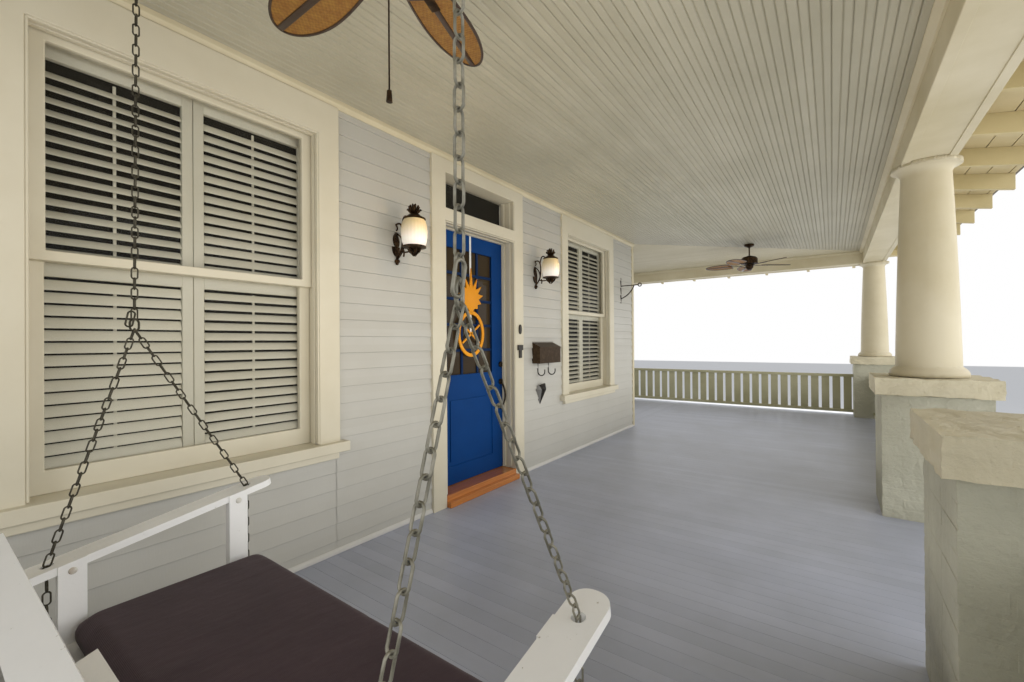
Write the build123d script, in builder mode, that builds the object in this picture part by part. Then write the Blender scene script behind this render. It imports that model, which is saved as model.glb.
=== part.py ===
from build123d import *
import os
from math import atan, cos, radians, sin, tan

# Front porch of an old timber house. It runs along the front wall and turns one corner.
# Millimetres, +Z up, the street towards -Y. The origin is on the ground under the middle of the
# front door, in the plane of the siding.

os.makedirs("parts", exist_ok=True)

# Heights and the plan
floor_top = 600  # porch floor above the ground
column_spacing = 5105  # from one full column to the next, both ways
entry_column_x = 1521  # the column beside the steps
step_pier_x = -895  # the low pier on the other side of the steps
porch_depth = 2890  # from the siding to the inner face of the beam
soffit_height = 2578  # underside of the beams above the floor
beam_width = 302
beam_drop = 196  # from the ceiling down to the soffit

# Piers and columns
pier_width = 578
pier_height = 1011  # top of the cap above the floor
cap_thickness = 128
cap_overhang = 39
cap_bevel = 14
column_foot_radius = 185
column_neck_radius = 143
column_plinth_radius = 222
column_abacus_radius = 200

# Floor and steps
floor_board = 28
skirt_thickness = 200
floor_nosing = 30
riser_count = 4
tread_depth = 300
foundation_thickness = 260
foundation_lip = 40

# Roof
rafter_spacing = 700
rafter_depth = 140
rafter_thickness = 45
rafter_tail = 609  # past the outer face of the beam
rafter_rise = 158  # underside of a rafter above the soffit, at the beam's outer face
roof_pitch = 11  # degrees
deck_thickness = 20
roofing_thickness = 14
roofing_lip = 25
rake_overhang = 150
ceiling_board = 19
barge_thickness = 25
barge_depth = 160
gable_board = 40
crown_width = 46
crown_height = 40
wall_strip_depth = 34  # in the corner between the ceiling and the siding
wall_strip_height = 50
shoe_depth = 20  # at the foot of the siding
shoe_height = 34

# House wall
wall_thickness = 170
wall_above_roof = 250

# Doorway
door_opening = 930
door_sill_height = 90  # top of the wooden sill above the floor
door_leaf_height = 2145
door_leaf_thickness = 45
door_gap = 5
door_setback = 125  # outer face of the leaf behind the siding
jamb_thickness = 32
transom_bar = 105
door_head_casing = 154  # from the transom light up to the ceiling
casing_width = 140
casing_thickness = 30
sill_projection = 42
sill_step_height = 48
stop_depth = 12
leaf_glass_width = 600
leaf_glass_foot = 915  # above the foot of the leaf
leaf_top_rail = 150
glazing_bar = 22
glazing_bar_depth = 12
glazing_columns = 3
glazing_rows = 5
leaf_panel_foot = 150
leaf_panel_height = 590
leaf_panel_groove = 40
leaf_panel_depth = 7
hinge_length = 90
hinge_inset = 260  # centre of the end hinges from the ends of the leaf
hinge_plate_width = 34
hinge_barrel_radius = 6
hinge_pin_radius = 3
hinge_clearance = 0.3
lock_from_edge = 34
latch_height = 815  # spindle of the latch above the foot of the leaf
bolt_height = 980
lock_bore_radius = 6
lock_bore_clearance = 0.2
rosette_radius = 27
rosette_thickness = 12
grip_radius = 8
grip_reach = 58
grip_drop = 250
knob_radius = 26
knob_reach = 62
plaque_ring_width = 350
plaque_ring_height = 400
plaque_ring_band = 34
plaque_bottom = 1065  # above the foot of the leaf
plaque_crown_height = 430
plaque_crown_width = 300
crown_leaf_count = 9
crown_notch = 0.62  # reach of the notches between the leaves, as a share of their tips
plaque_thickness = 10
hanger_width = 22
hanger_thickness = 1.5
hanger_lip = 40

# Windows
window_from_door = 2100
window_width = 1170
window_sill_height = 690
window_head_height = 2530
window_casing = 132
window_sill_thickness = 60
window_sill_horn = 42
window_sill_projection = 70
liner_thickness = 25
sash_thickness = 35
sash_stile = 63
sash_top_rail = 40
sash_bottom_rail = 95
sash_meeting_rail = 42
meeting_height = 1640
sash_setback = 40
glass_thickness = 4
shutter_thickness = 28
shutter_stile = 45
shutter_gap = 3

# Railings
rail_top = 700
rail_width = 90
rail_thickness = 45
rail_clearance = 50  # bottom rail above the floor
baluster_pitch = 156
baluster_width = 112
baluster_thickness = 22

# Small fittings on the wall
lantern_from_door = 900
lantern_height = 2040
lantern_reach = 170
lantern_radius = 100
lantern_shade_height = 190
backplate_height = 330
backplate_width = 92
backplate_thickness = 16
backplate_drop = 20  # its middle below the middle of the shade
lantern_arm_radius = 9
lantern_arm_drop = 60  # lower arm below the shade
lantern_arm_rise = 20  # upper arm above the shade
lantern_dish_lip = 6
lantern_dish_rim = 8
lantern_dish_depth = 26
lantern_knob_radius = 34
lantern_tip_radius = 14
lantern_tip_drop = 70
lantern_cap_inset = 8
lantern_cap_height = 34
lantern_cap_neck = 42
lantern_finial_waist = 22
lantern_finial_foot = 44
lantern_finial_radius = 46
lantern_finial_height = 106
shade_foot_inset = 12
shade_head_inset = 22
mailbox_x = 993
mailbox_width = 412
mailbox_depth = 100
mailbox_bottom = 1070
mailbox_front_height = 165
mailbox_back_height = 212
mailbox_wall = 2
hook_shank = 85  # of the newspaper hooks
hook_bend = 42
hook_wire = 8
lid_thickness = 3
lid_gap = 0.3
lid_hinge_radius = 4
lid_overhang = 4
lid_lip = 14
pocket_x = 925
pocket_top = 855
pocket_length = 225
pocket_radius = 66
pocket_mouth = 58
pocket_shoulder = 60  # below the mouth
pocket_point = 12
pocket_wall = 2
bell_height = 1410
bell_plate_width = 36
bell_plate_height = 92
bell_box_drop = 175
bell_box_width = 80
bell_box_height = 50
bell_cover_width = 36
bell_cover_height = 75
bell_depth = 16
bracket_x = 3120
bracket_height = 2085
bracket_reach = 270
bracket_iron = 12
bracket_bar_width = 24
bracket_bar_height = 360
bracket_bar_rise = 115
bracket_ring_radius = 28
brace_reach = 210
brace_drop = 190
brace_radius = 300

# Ceiling fans
near_fan_x = -2130
far_fan_x = 4725
fan_line_y = -1440
fan_radius = 630
fan_drop = 319  # from the ceiling down to the blades
fan_blade_count = 5
fan_blade_pitch = 12  # degrees
fan_first_angle = 18  # degrees, of one blade from the line of the porch
fan_blade_start = 235
fan_blade_root = 176
fan_blade_width = 206
fan_blade_widest = 400  # from the shaft to the widest part
fan_blade_flare = 0.25  # slope of the edges where they leave the root
fan_blade_thickness = 6
fan_iron_width = 34
fan_iron_thickness = 5
fan_iron_lap = 60
fan_hub_radius = 70
fan_hub_height = 22
fan_shaft_radius = 10
fan_shaft_clearance = 0.3
fan_motor_radius = 115
fan_motor_height = 105
fan_motor_shoulder = 92
fan_motor_neck = 46
fan_canopy_radius = 68
fan_canopy_height = 55
fan_cup_radius = 58
fan_cup_height = 60
fan_cup_waist = 52
fan_cup_foot = 23
fan_running_gap = 5
pull_chain_radius = 2.5
pull_chain_length = 370
pull_fob_radius = 7
pull_fob_length = 32

# Porch swing, which hangs from two ceiling hooks and faces along the porch
swing_x = -2470
swing_street_y = -2030
swing_house_y = -500
swing_seat_height = 360
swing_seat_front = -2080
swing_seat_depth = 640
swing_board = 22
swing_rail = 44
swing_rail_depth = 68
swing_post_width = 66
swing_post_thickness = 36
swing_post_inset = 50  # from the chain's hole to the middle of the post
swing_arm_height = 702  # top of the arm above the floor, at the front chain
swing_arm_rear_height = 602
swing_front_hole_x = -2120
swing_rear_hole_x = -2694
swing_arm_width = 95
swing_arm_thickness = 25
swing_arm_nose = 90
swing_arm_tail = 80
swing_back_inset = 60  # from the rear edge of the seat
swing_batten = 30
swing_stile_width = 84
swing_back_height = 378
swing_back_lean = 18  # degrees
swing_cap = 22
swing_console_width = 272
swing_console_thickness = 38
swing_console_top = 252  # above the seat, along the back
swing_console_corner = 24
swing_back_rail = 70
swing_slat_width = 90
swing_slat_pitch = 108
swing_ring_height = 1340
hook_drop = 55
hook_offset = 16
hook_flange = 5
hook_flange_radius = 22
hook_head_radius = 9
hook_pin_radius = 5
chain_radius = 8
chain_hole_radius = 16
split_ring_radius = 16
eye_bolt_radius = 5
eye_bolt_clearance = 0.2
bolt_nut_radius = 11
cushion_thickness = 75
cushion_gap = 3  # to the slats of the back
cushion_inset = 10
cushion_corner = 40
cushion_edge = 28

# Places worked out from the values above
far_line_x = entry_column_x + column_spacing
near_line_x = entry_column_x - column_spacing
front_line_y = -(porch_depth + beam_width / 2)
back_line_y = front_line_y + column_spacing
corner_x = far_line_x - beam_width / 2 - porch_depth
near_end_x = near_line_x - beam_width / 2
back_end_y = back_line_y + beam_width / 2
beam_outer = porch_depth + beam_width
soffit_z = floor_top + soffit_height
ceiling_z = soffit_z + beam_drop
wall_foot_z = floor_top - floor_board
slope = tan(radians(roof_pitch))
rafter_plumb = rafter_depth / cos(radians(roof_pitch))
deck_plumb = deck_thickness / cos(radians(roof_pitch))
roofing_plumb = roofing_thickness / cos(radians(roof_pitch))
tail_end = beam_outer + rafter_tail
hip_plane = Plane(origin=(corner_x, 0, 0), x_dir=(1, -1, 0), z_dir=(1, 1, 0))


def rafter_seat(out):
    """Height of a rafter's underside at a distance out from the house wall."""
    return soffit_z + rafter_rise + (beam_outer - out) * slope


wall_top_z = rafter_seat(0) + rafter_plumb + deck_plumb + roofing_plumb + wall_above_roof


def roof_band(inner, outer, lift, plumb):
    """Section of a layer that follows the roof slope, for the front leg of the porch."""
    return [
        (-inner, rafter_seat(inner) + lift),
        (-outer, rafter_seat(outer) + lift),
        (-outer, rafter_seat(outer) + lift + plumb),
        (-inner, rafter_seat(inner) + lift + plumb),
    ]


def front_leg(section, start_x, end_x):
    """A straight run along the front with one section, cut off at the hip line."""
    with BuildPart() as run:
        with BuildSketch(Plane.YZ.offset(start_x)):
            with BuildLine():
                Polyline(*section, close=True)
            make_face()
        extrude(amount=end_x - start_x)
        split(bisect_by=hip_plane, keep=Keep.BOTTOM)
    return run


def side_leg(section, back_y, end_x):
    """The same run turned round the corner, from back_y forward to the hip line."""
    with BuildPart() as run:
        add(front_leg(section, corner_x - back_y, end_x).part)
        mirror(about=hip_plane, mode=Mode.REPLACE)
    return run


# House foundation: a brick wall under the front and side walls that carries the floor's edge
with BuildPart() as house_foundation:
    with BuildSketch():
        with BuildLine():
            Polyline(
                (near_end_x, -foundation_lip),
                (corner_x + foundation_lip, -foundation_lip),
                (corner_x + foundation_lip, back_end_y),
                (corner_x + foundation_lip - foundation_thickness, back_end_y),
                (corner_x + foundation_lip - foundation_thickness, foundation_thickness - foundation_lip),
                (near_end_x, foundation_thickness - foundation_lip),
                close=True,
            )
        make_face()
    extrude(amount=wall_foot_z)
house_foundation.part.label = "house_foundation"
export_step(house_foundation.part, "parts/house_foundation.step")

# Brick piers: four under the columns and a low one beside the steps
column_points = [
    (near_line_x, front_line_y),
    (entry_column_x, front_line_y),
    (far_line_x, front_line_y),
    (far_line_x, back_line_y),
]
pier_points = column_points + [(step_pier_x, front_line_y)]

with BuildPart() as brick_piers:
    with BuildSketch():
        with Locations(*pier_points):
            Rectangle(pier_width, pier_width)
    extrude(amount=floor_top + pier_height - cap_thickness)
brick_piers.part.label = "brick_piers"
export_step(brick_piers.part, "parts/brick_piers.step")

# Cast caps with a small bevel round the top
with BuildPart() as pier_caps:
    with BuildSketch(Plane.XY.offset(floor_top + pier_height - cap_thickness)):
        with Locations(*pier_points):
            Rectangle(pier_width + 2 * cap_overhang, pier_width + 2 * cap_overhang)
    extrude(amount=cap_thickness)
    chamfer(pier_caps.faces().group_by(Axis.Z)[-1].edges(), cap_bevel)
pier_caps.part.label = "pier_caps"
export_step(pier_caps.part, "parts/pier_caps.step")

# Turned columns: plinth ring, torus, tapered shaft, neck and a flared capital
column_height = soffit_height - pier_height
plinth_height = 26
torus_height = 34
torus_tuck = 10  # the torus narrows by this before it turns in
foot_fillet = 16
capital_height = 52
capital_flare = 14
abacus_height = 30
abacus_lip = 12
abacus_bevel = 6
column_bow = 5  # how far the shaft swells past a straight taper

with BuildPart() as turned_column:
    with BuildSketch(Plane.XZ):
        with BuildLine():
            base_top = plinth_height + torus_height
            shaft_top = column_height - capital_height - abacus_height
            Polyline((0, 0), (column_plinth_radius, 0), (column_plinth_radius, plinth_height))
            ThreePointArc(
                (column_plinth_radius, plinth_height),
                (column_plinth_radius - torus_tuck, plinth_height + 2 * torus_height / 3),
                (column_foot_radius + foot_fillet, base_top),
            )
            Line((column_foot_radius + foot_fillet, base_top), (column_foot_radius, base_top + foot_fillet))
            ThreePointArc(
                (column_foot_radius, base_top + foot_fillet),
                ((column_foot_radius + column_neck_radius) / 2 + column_bow, shaft_top / 2),
                (column_neck_radius, shaft_top),
            )
            ThreePointArc(
                (column_neck_radius, shaft_top),
                (column_neck_radius + capital_flare, shaft_top + 2 * capital_height / 3),
                (column_abacus_radius - abacus_lip, shaft_top + capital_height),
            )
            Polyline(
                (column_abacus_radius - abacus_lip, shaft_top + capital_height),
                (column_abacus_radius, shaft_top + capital_height + abacus_bevel),
                (column_abacus_radius, column_height),
                (0, column_height),
                (0, 0),
            )
        make_face()
    revolve(axis=Axis.Z)

with BuildPart() as columns:
    with Locations(*[(x, y, floor_top + pier_height) for x, y in column_points]):
        add(turned_column.part)
columns.part.label = "columns"
export_step(columns.part, "parts/columns.step")

# Skirt: low brick walls between the piers, under the edge of the floor
skirt_z = floor_top - floor_board
half_pier = pier_width / 2
front_skirts = [
    (near_line_x + half_pier, step_pier_x - half_pier),
    (step_pier_x + half_pier, entry_column_x - half_pier),
    (entry_column_x + half_pier, far_line_x - half_pier),
]
with BuildPart() as porch_skirt:
    with BuildSketch():
        for start_x, end_x in front_skirts:
            with Locations(((start_x + end_x) / 2, front_line_y)):
                Rectangle(end_x - start_x, skirt_thickness)
        side_middle = (front_line_y + back_line_y) / 2
        with Locations((far_line_x, side_middle)):
            Rectangle(skirt_thickness, column_spacing - pier_width)
        near_run = -foundation_lip - (front_line_y + half_pier)
        with Locations((near_line_x, -foundation_lip - near_run / 2)):
            Rectangle(skirt_thickness, near_run)
        back_run = far_line_x - half_pier - (corner_x + foundation_lip)
        with Locations((corner_x + foundation_lip + back_run / 2, back_line_y)):
            Rectangle(back_run, skirt_thickness)
    extrude(amount=skirt_z)
porch_skirt.part.label = "porch_skirt"
export_step(porch_skirt.part, "parts/porch_skirt.step")

# Porch floor: narrow boards nailed down as one deck, notched round the piers
floor_edge = skirt_thickness / 2 + floor_nosing
with BuildPart() as porch_floor_front:
    with BuildSketch(Plane.XY.offset(skirt_z)):
        with BuildLine():
            Polyline(
                (near_line_x - floor_edge, front_line_y - floor_edge),
                (far_line_x + floor_edge, front_line_y - floor_edge),
                (far_line_x + floor_edge, 0),
                (near_line_x - floor_edge, 0),
                close=True,
            )
        make_face()
        with Locations(*pier_points):
            Rectangle(pier_width, pier_width, mode=Mode.SUBTRACT)
    extrude(amount=floor_board)
porch_floor_front.part.label = "porch_floor_front"
export_step(porch_floor_front.part, "parts/porch_floor_front.step")

with BuildPart() as porch_floor_side:
    with BuildSketch(Plane.XY.offset(skirt_z)):
        with BuildLine():
            Polyline(
                (corner_x, 0),
                (far_line_x + floor_edge, 0),
                (far_line_x + floor_edge, back_line_y + floor_edge),
                (corner_x, back_line_y + floor_edge),
                close=True,
            )
        make_face()
        with Locations((far_line_x, back_line_y)):
            Rectangle(pier_width, pier_width, mode=Mode.SUBTRACT)
    extrude(amount=floor_board)
porch_floor_side.part.label = "porch_floor_side"
export_step(porch_floor_side.part, "parts/porch_floor_side.step")

# Entry steps: one masonry flight between the step pier and the entry column's pier
riser = floor_top / riser_count
steps_back = front_line_y - skirt_thickness / 2
first_nosing = front_line_y - floor_edge
with BuildPart() as entry_steps:
    with BuildSketch(Plane.YZ.offset(step_pier_x + half_pier)):
        with BuildLine():
            stair_line = [(steps_back, 0), (steps_back, floor_top - riser)]
            for step in range(1, riser_count):
                nose_y = first_nosing - step * tread_depth
                stair_line.append((nose_y, floor_top - step * riser))
                stair_line.append((nose_y, floor_top - (step + 1) * riser))
            Polyline(*stair_line, close=True)
        make_face()
    extrude(amount=entry_column_x - step_pier_x - pier_width)
entry_steps.part.label = "entry_steps"
export_step(entry_steps.part, "parts/entry_steps.step")

# Rafters: sawn timbers from the wall to exposed tails. Jack rafters stop at the hip rafter.
front_rafters = range(-int((corner_x - near_end_x) // rafter_spacing), int(tail_end // rafter_spacing) + 1)
side_rafters = range(-int(back_end_y // rafter_spacing), int(tail_end // rafter_spacing) + 1)


def rafter_set(steps, trim):
    """Rafters square to the front wall, one for each step from the corner, cut at the hip."""
    with BuildPart() as timbers:
        for step in steps:
            rafter_x = corner_x + step * rafter_spacing
            with BuildSketch(Plane.YZ.offset(rafter_x - rafter_thickness / 2)):
                with BuildLine():
                    Polyline(*roof_band(0, tail_end, 0, rafter_plumb), close=True)
                make_face()
            extrude(amount=rafter_thickness)
        split(bisect_by=hip_plane.offset(-trim), keep=Keep.BOTTOM)
    return timbers


front_timbers = rafter_set(front_rafters, rafter_thickness / 2)
with BuildPart() as side_timbers:
    add(rafter_set(side_rafters, rafter_thickness / 2).part)
    mirror(about=hip_plane, mode=Mode.REPLACE)

with BuildPart() as rafters:
    add(front_timbers.part)
    add(side_timbers.part)
rafters.part.label = "rafters"
export_step(rafters.part, "parts/rafters.step")

# Hip rafter: stands under the hip, from the corner of the house to the corner of the eaves
hip_side = Plane(origin=(corner_x, 0, 0), x_dir=(1, -1, 0), z_dir=(-1, -1, 0))
with BuildPart() as hip_rafter:
    with BuildSketch(hip_side.offset(-rafter_thickness / 2)):
        with BuildLine():
            diagonal = 2**0.5
            Polyline(
                (0, rafter_seat(0)),
                (diagonal * tail_end, rafter_seat(tail_end)),
                (diagonal * tail_end, rafter_seat(tail_end) + rafter_plumb - rafter_thickness / 2 * slope),
                (0, rafter_seat(0) + rafter_plumb - rafter_thickness / 2 * slope),
                close=True,
            )
        make_face()
    extrude(amount=rafter_thickness)
hip_rafter.part.label = "hip_rafter"
export_step(hip_rafter.part, "parts/hip_rafter.step")

# Beams: boxed timbers on the columns. The rafters are let into the two long ones.
beam_section = [
    (-porch_depth, soffit_z),
    (-beam_outer, soffit_z),
    (-beam_outer, rafter_seat(beam_outer) + rafter_plumb),
    (-porch_depth, rafter_seat(porch_depth) + rafter_plumb),
]
hip_end_x = corner_x + tail_end + roofing_lip

with BuildPart() as beam_front:
    add(front_leg(beam_section, near_end_x, hip_end_x).part)
    add(front_timbers.part, mode=Mode.SUBTRACT)
    add(hip_rafter.part, mode=Mode.SUBTRACT)
beam_front.part.label = "beam_front"
export_step(beam_front.part, "parts/beam_front.step")

with BuildPart() as beam_far_side:
    add(side_leg(beam_section, back_end_y, hip_end_x).part)
    add(side_timbers.part, mode=Mode.SUBTRACT)
    add(hip_rafter.part, mode=Mode.SUBTRACT)
beam_far_side.part.label = "beam_far_side"
export_step(beam_far_side.part, "parts/beam_far_side.step")

# End beams: from the house wall to the long beams, at both ends of the porch
end_beam_height = beam_drop + ceiling_board
with BuildPart() as end_beams:
    with BuildSketch(Plane.XY.offset(soffit_z)):
        with Locations((near_line_x, -porch_depth / 2)):
            Rectangle(beam_width, porch_depth)
        with Locations((corner_x + porch_depth / 2, back_line_y)):
            Rectangle(porch_depth, beam_width)
    extrude(amount=end_beam_height)
end_beams.part.label = "end_beams"
export_step(end_beams.part, "parts/end_beams.step")

# Ceiling: beaded boards that run along each leg and meet in a mitre under the hip
ceiling_section = [
    (0, ceiling_z),
    (-porch_depth, ceiling_z),
    (-porch_depth, ceiling_z + ceiling_board),
    (0, ceiling_z + ceiling_board),
]
with BuildPart() as ceiling_front:
    add(front_leg(ceiling_section, near_line_x + beam_width / 2, hip_end_x).part)
ceiling_front.part.label = "ceiling_front"
export_step(ceiling_front.part, "parts/ceiling_front.step")

with BuildPart() as ceiling_side:
    add(side_leg(ceiling_section, back_line_y - beam_width / 2, hip_end_x).part)
ceiling_side.part.label = "ceiling_side"
export_step(ceiling_side.part, "parts/ceiling_side.step")

# Crown moulding in the corner between the ceiling and the beams
crown_section = [
    (-porch_depth, ceiling_z),
    (-porch_depth, ceiling_z - crown_height),
    (-porch_depth + crown_width / 3, ceiling_z - crown_height),
    (-porch_depth + crown_width, ceiling_z - crown_height / 3),
    (-porch_depth + crown_width, ceiling_z),
]
near_inner_x = near_line_x + beam_width / 2
back_inner_y = back_line_y - beam_width / 2
with BuildPart() as ceiling_trim:
    add(front_leg(crown_section, near_inner_x, hip_end_x).part)
    add(side_leg(crown_section, back_inner_y, hip_end_x).part)
    with BuildSketch(Plane.XZ):
        with BuildLine():
            Polyline(*[(near_inner_x + y + porch_depth, z) for y, z in crown_section], close=True)
        make_face()
    extrude(amount=porch_depth)
    with BuildSketch(Plane.YZ.offset(corner_x)):
        with BuildLine():
            Polyline(*[(back_inner_y - y - porch_depth, z) for y, z in crown_section], close=True)
        make_face()
    extrude(amount=porch_depth)
ceiling_trim.part.label = "ceiling_trim"
export_step(ceiling_trim.part, "parts/ceiling_trim.step")

# Strip in the corner between the ceiling and the siding, mitred round the corner of the house
wall_strip_section = [
    (0, ceiling_z),
    (-wall_strip_depth, ceiling_z),
    (-wall_strip_depth, ceiling_z - wall_strip_height / 2),
    (-wall_strip_depth / 2, ceiling_z - wall_strip_height),
    (0, ceiling_z - wall_strip_height),
]
strip_foot_z = ceiling_z - wall_strip_height
with BuildPart() as wall_strip:
    add(front_leg(wall_strip_section, near_inner_x + crown_width, hip_end_x).part)
    add(side_leg(wall_strip_section, back_inner_y - crown_width, hip_end_x).part)
wall_strip.part.label = "wall_strip"
export_step(wall_strip.part, "parts/wall_strip.step")

# Roof deck: sheathing boards that show between the rafter tails
deck_section = roof_band(0, tail_end, rafter_plumb, deck_plumb)
with BuildPart() as roof_deck_front:
    add(front_leg(deck_section, near_end_x - rake_overhang, hip_end_x).part)
roof_deck_front.part.label = "roof_deck_front"
export_step(roof_deck_front.part, "parts/roof_deck_front.step")

with BuildPart() as roof_deck_side:
    add(side_leg(deck_section, back_end_y + rake_overhang, hip_end_x).part)
roof_deck_side.part.label = "roof_deck_side"
export_step(roof_deck_side.part, "parts/roof_deck_side.step")

# Roofing: shingles laid on the deck, a little past its edges
roofing_section = roof_band(0, tail_end + roofing_lip, rafter_plumb + deck_plumb, roofing_plumb)
roofing_run = rake_overhang + roofing_lip
with BuildPart() as roofing_front:
    add(front_leg(roofing_section, near_end_x - roofing_run, hip_end_x).part)
roofing_front.part.label = "roofing_front"
export_step(roofing_front.part, "parts/roofing_front.step")

with BuildPart() as roofing_side:
    add(side_leg(roofing_section, back_end_y + roofing_run, hip_end_x).part)
roofing_side.part.label = "roofing_side"
export_step(roofing_side.part, "parts/roofing_side.step")

# Gable ends: boarded panels above the end beams, with a barge board under each rake
gable_foot_z = soffit_z + end_beam_height
gable_section = [
    (0, gable_foot_z),
    (-porch_depth, gable_foot_z),
    (-porch_depth, rafter_seat(porch_depth) + rafter_plumb),
    (0, rafter_seat(0) + rafter_plumb),
]
barge_section = roof_band(0, tail_end, rafter_plumb - barge_depth, barge_depth)
with BuildPart() as gable_ends:
    add(front_leg(gable_section, near_end_x, near_end_x + gable_board).part)
    add(front_leg(barge_section, near_end_x - rake_overhang, near_end_x - rake_overhang + barge_thickness).part)
    add(side_leg(gable_section, back_end_y, corner_x - back_end_y + gable_board).part)
    back_rake = back_end_y + rake_overhang
    add(side_leg(barge_section, back_rake, corner_x - back_rake + barge_thickness).part)
gable_ends.part.label = "gable_ends"
export_step(gable_ends.part, "parts/gable_ends.step")

# House walls, split beside and over the doorway, with the window openings cut through
rough_door = door_opening / 2 + jamb_thickness
transom_head_z = ceiling_z - door_head_casing
door_head_z = transom_head_z + jamb_thickness
rough_window = window_width + 2 * liner_thickness
window_sill_z = floor_top + window_sill_height
window_head_z = floor_top + window_head_height
window_height = window_head_height - window_sill_height

window_opening = window_height + window_sill_thickness + liner_thickness
window_opening_z = window_sill_z - window_sill_thickness + window_opening / 2


def front_wall(start_x, end_x, window_x):
    """One length of the front wall with its window opening."""
    with BuildPart() as wall:
        with BuildSketch(Plane.XZ.offset(-wall_thickness)):
            with Locations(((start_x + end_x) / 2, (wall_foot_z + wall_top_z) / 2)):
                Rectangle(end_x - start_x, wall_top_z - wall_foot_z)
            with Locations((window_x, window_opening_z)):
                Rectangle(rough_window, window_opening, mode=Mode.SUBTRACT)
        extrude(amount=wall_thickness)
    return wall


with BuildPart() as front_wall_near:
    add(front_wall(near_end_x, -rough_door, -window_from_door).part)
front_wall_near.part.label = "front_wall_near"
export_step(front_wall_near.part, "parts/front_wall_near.step")

with BuildPart() as front_wall_far:
    add(front_wall(rough_door, corner_x, window_from_door).part)
front_wall_far.part.label = "front_wall_far"
export_step(front_wall_far.part, "parts/front_wall_far.step")

with BuildPart() as wall_over_door:
    with BuildSketch(Plane.XZ.offset(-wall_thickness)):
        with Locations((0, (door_head_z + wall_top_z) / 2)):
            Rectangle(2 * rough_door, wall_top_z - door_head_z)
    extrude(amount=wall_thickness)
wall_over_door.part.label = "wall_over_door"
export_step(wall_over_door.part, "parts/wall_over_door.step")

with BuildPart() as side_wall:
    with BuildSketch(Plane.XY.offset(wall_foot_z)):
        with Locations((corner_x - wall_thickness / 2, (wall_thickness + back_end_y) / 2)):
            Rectangle(wall_thickness, back_end_y - wall_thickness)
    extrude(amount=wall_top_z - wall_foot_z)
side_wall.part.label = "side_wall"
export_step(side_wall.part, "parts/side_wall.step")

# Base shoe: a small strip at the foot of the siding, stopped at the door casing
casing_edge = door_opening / 2 + casing_width
shoe_section = [
    (0, floor_top),
    (-shoe_depth, floor_top),
    (-shoe_depth, floor_top + shoe_height / 2),
    (-shoe_depth / 2, floor_top + shoe_height),
    (0, floor_top + shoe_height),
]
with BuildPart() as base_shoe:
    add(front_leg(shoe_section, near_line_x, -casing_edge).part)
    add(front_leg(shoe_section, casing_edge, hip_end_x).part)
    add(side_leg(shoe_section, back_line_y, hip_end_x).part)
base_shoe.part.label = "base_shoe"
export_step(base_shoe.part, "parts/base_shoe.step")

# Window frames: jamb lining through the wall, flat casing, head board and a projecting sill
window_points = (-window_from_door, window_from_door)
casing_half = window_width / 2 + window_casing
sill_half = casing_half + window_sill_horn
with BuildPart() as window_frames:
    for window_x in window_points:
        with BuildSketch(Plane.XZ.offset(-wall_thickness)):
            with Locations((window_x, window_opening_z)):
                Rectangle(rough_window, window_opening)
            with Locations((window_x, window_sill_z + window_height / 2)):
                Rectangle(window_width, window_height, mode=Mode.SUBTRACT)
        extrude(amount=wall_thickness)
        with BuildSketch(Plane.XZ):
            with Locations((window_x, (window_sill_z + strip_foot_z) / 2)):
                Rectangle(2 * casing_half, strip_foot_z - window_sill_z)
            with Locations((window_x, window_sill_z + window_height / 2)):
                Rectangle(window_width, window_height, mode=Mode.SUBTRACT)
        extrude(amount=casing_thickness)
        with BuildSketch(Plane.XZ):
            with Locations((window_x, window_sill_z - window_sill_thickness / 2)):
                Rectangle(2 * sill_half, window_sill_thickness)
        extrude(amount=window_sill_projection)
window_frames.part.label = "window_frames"
export_step(window_frames.part, "parts/window_frames.step")

# Sashes: the upper one runs outside the lower one, and they overlap at the meeting rails
meeting_z = floor_top + meeting_height
inner_sash_y = sash_setback + sash_thickness
with BuildPart() as window_sashes:
    for window_x in window_points:
        for face_y, foot_z, head_z, foot_rail, head_rail in (
            (sash_setback, meeting_z - sash_meeting_rail / 2, window_head_z, sash_meeting_rail, sash_top_rail),
            (inner_sash_y, window_sill_z, meeting_z + sash_meeting_rail / 2, sash_bottom_rail, sash_meeting_rail),
        ):
            with BuildSketch(Plane.XZ.offset(-face_y - sash_thickness)):
                with Locations((window_x, (foot_z + head_z) / 2)):
                    Rectangle(window_width, head_z - foot_z)
                with Locations((window_x, (foot_z + foot_rail + head_z - head_rail) / 2)):
                    Rectangle(
                        window_width - 2 * sash_stile,
                        head_z - head_rail - foot_z - foot_rail,
                        mode=Mode.SUBTRACT,
                    )
            extrude(amount=sash_thickness)
window_sashes.part.label = "window_sashes"
export_step(window_sashes.part, "parts/window_sashes.step")

# Panes of the four sashes and the transom light over the door
door_sill_z = floor_top + door_sill_height
leaf_foot_z = door_sill_z + door_gap
leaf_head_z = leaf_foot_z + door_leaf_height
transom_foot_z = leaf_head_z + transom_bar
transom_light = transom_head_z - transom_foot_z
with BuildPart() as window_glass:
    for window_x in window_points:
        for face_y, foot_z, head_z in (
            (sash_setback, meeting_z + sash_meeting_rail / 2, window_head_z - sash_top_rail),
            (inner_sash_y, window_sill_z + sash_bottom_rail, meeting_z - sash_meeting_rail / 2),
        ):
            with BuildSketch(Plane.XZ.offset(-face_y - (sash_thickness + glass_thickness) / 2)):
                with Locations((window_x, (foot_z + head_z) / 2)):
                    Rectangle(window_width - 2 * sash_stile, head_z - foot_z)
            extrude(amount=glass_thickness)
    with BuildSketch(Plane.XZ.offset(-door_setback)):
        with Locations((0, transom_foot_z + transom_light / 2)):
            Rectangle(door_opening, transom_light)
    extrude(amount=glass_thickness)
window_glass.part.label = "window_glass"
export_step(window_glass.part, "parts/window_glass.step")

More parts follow.
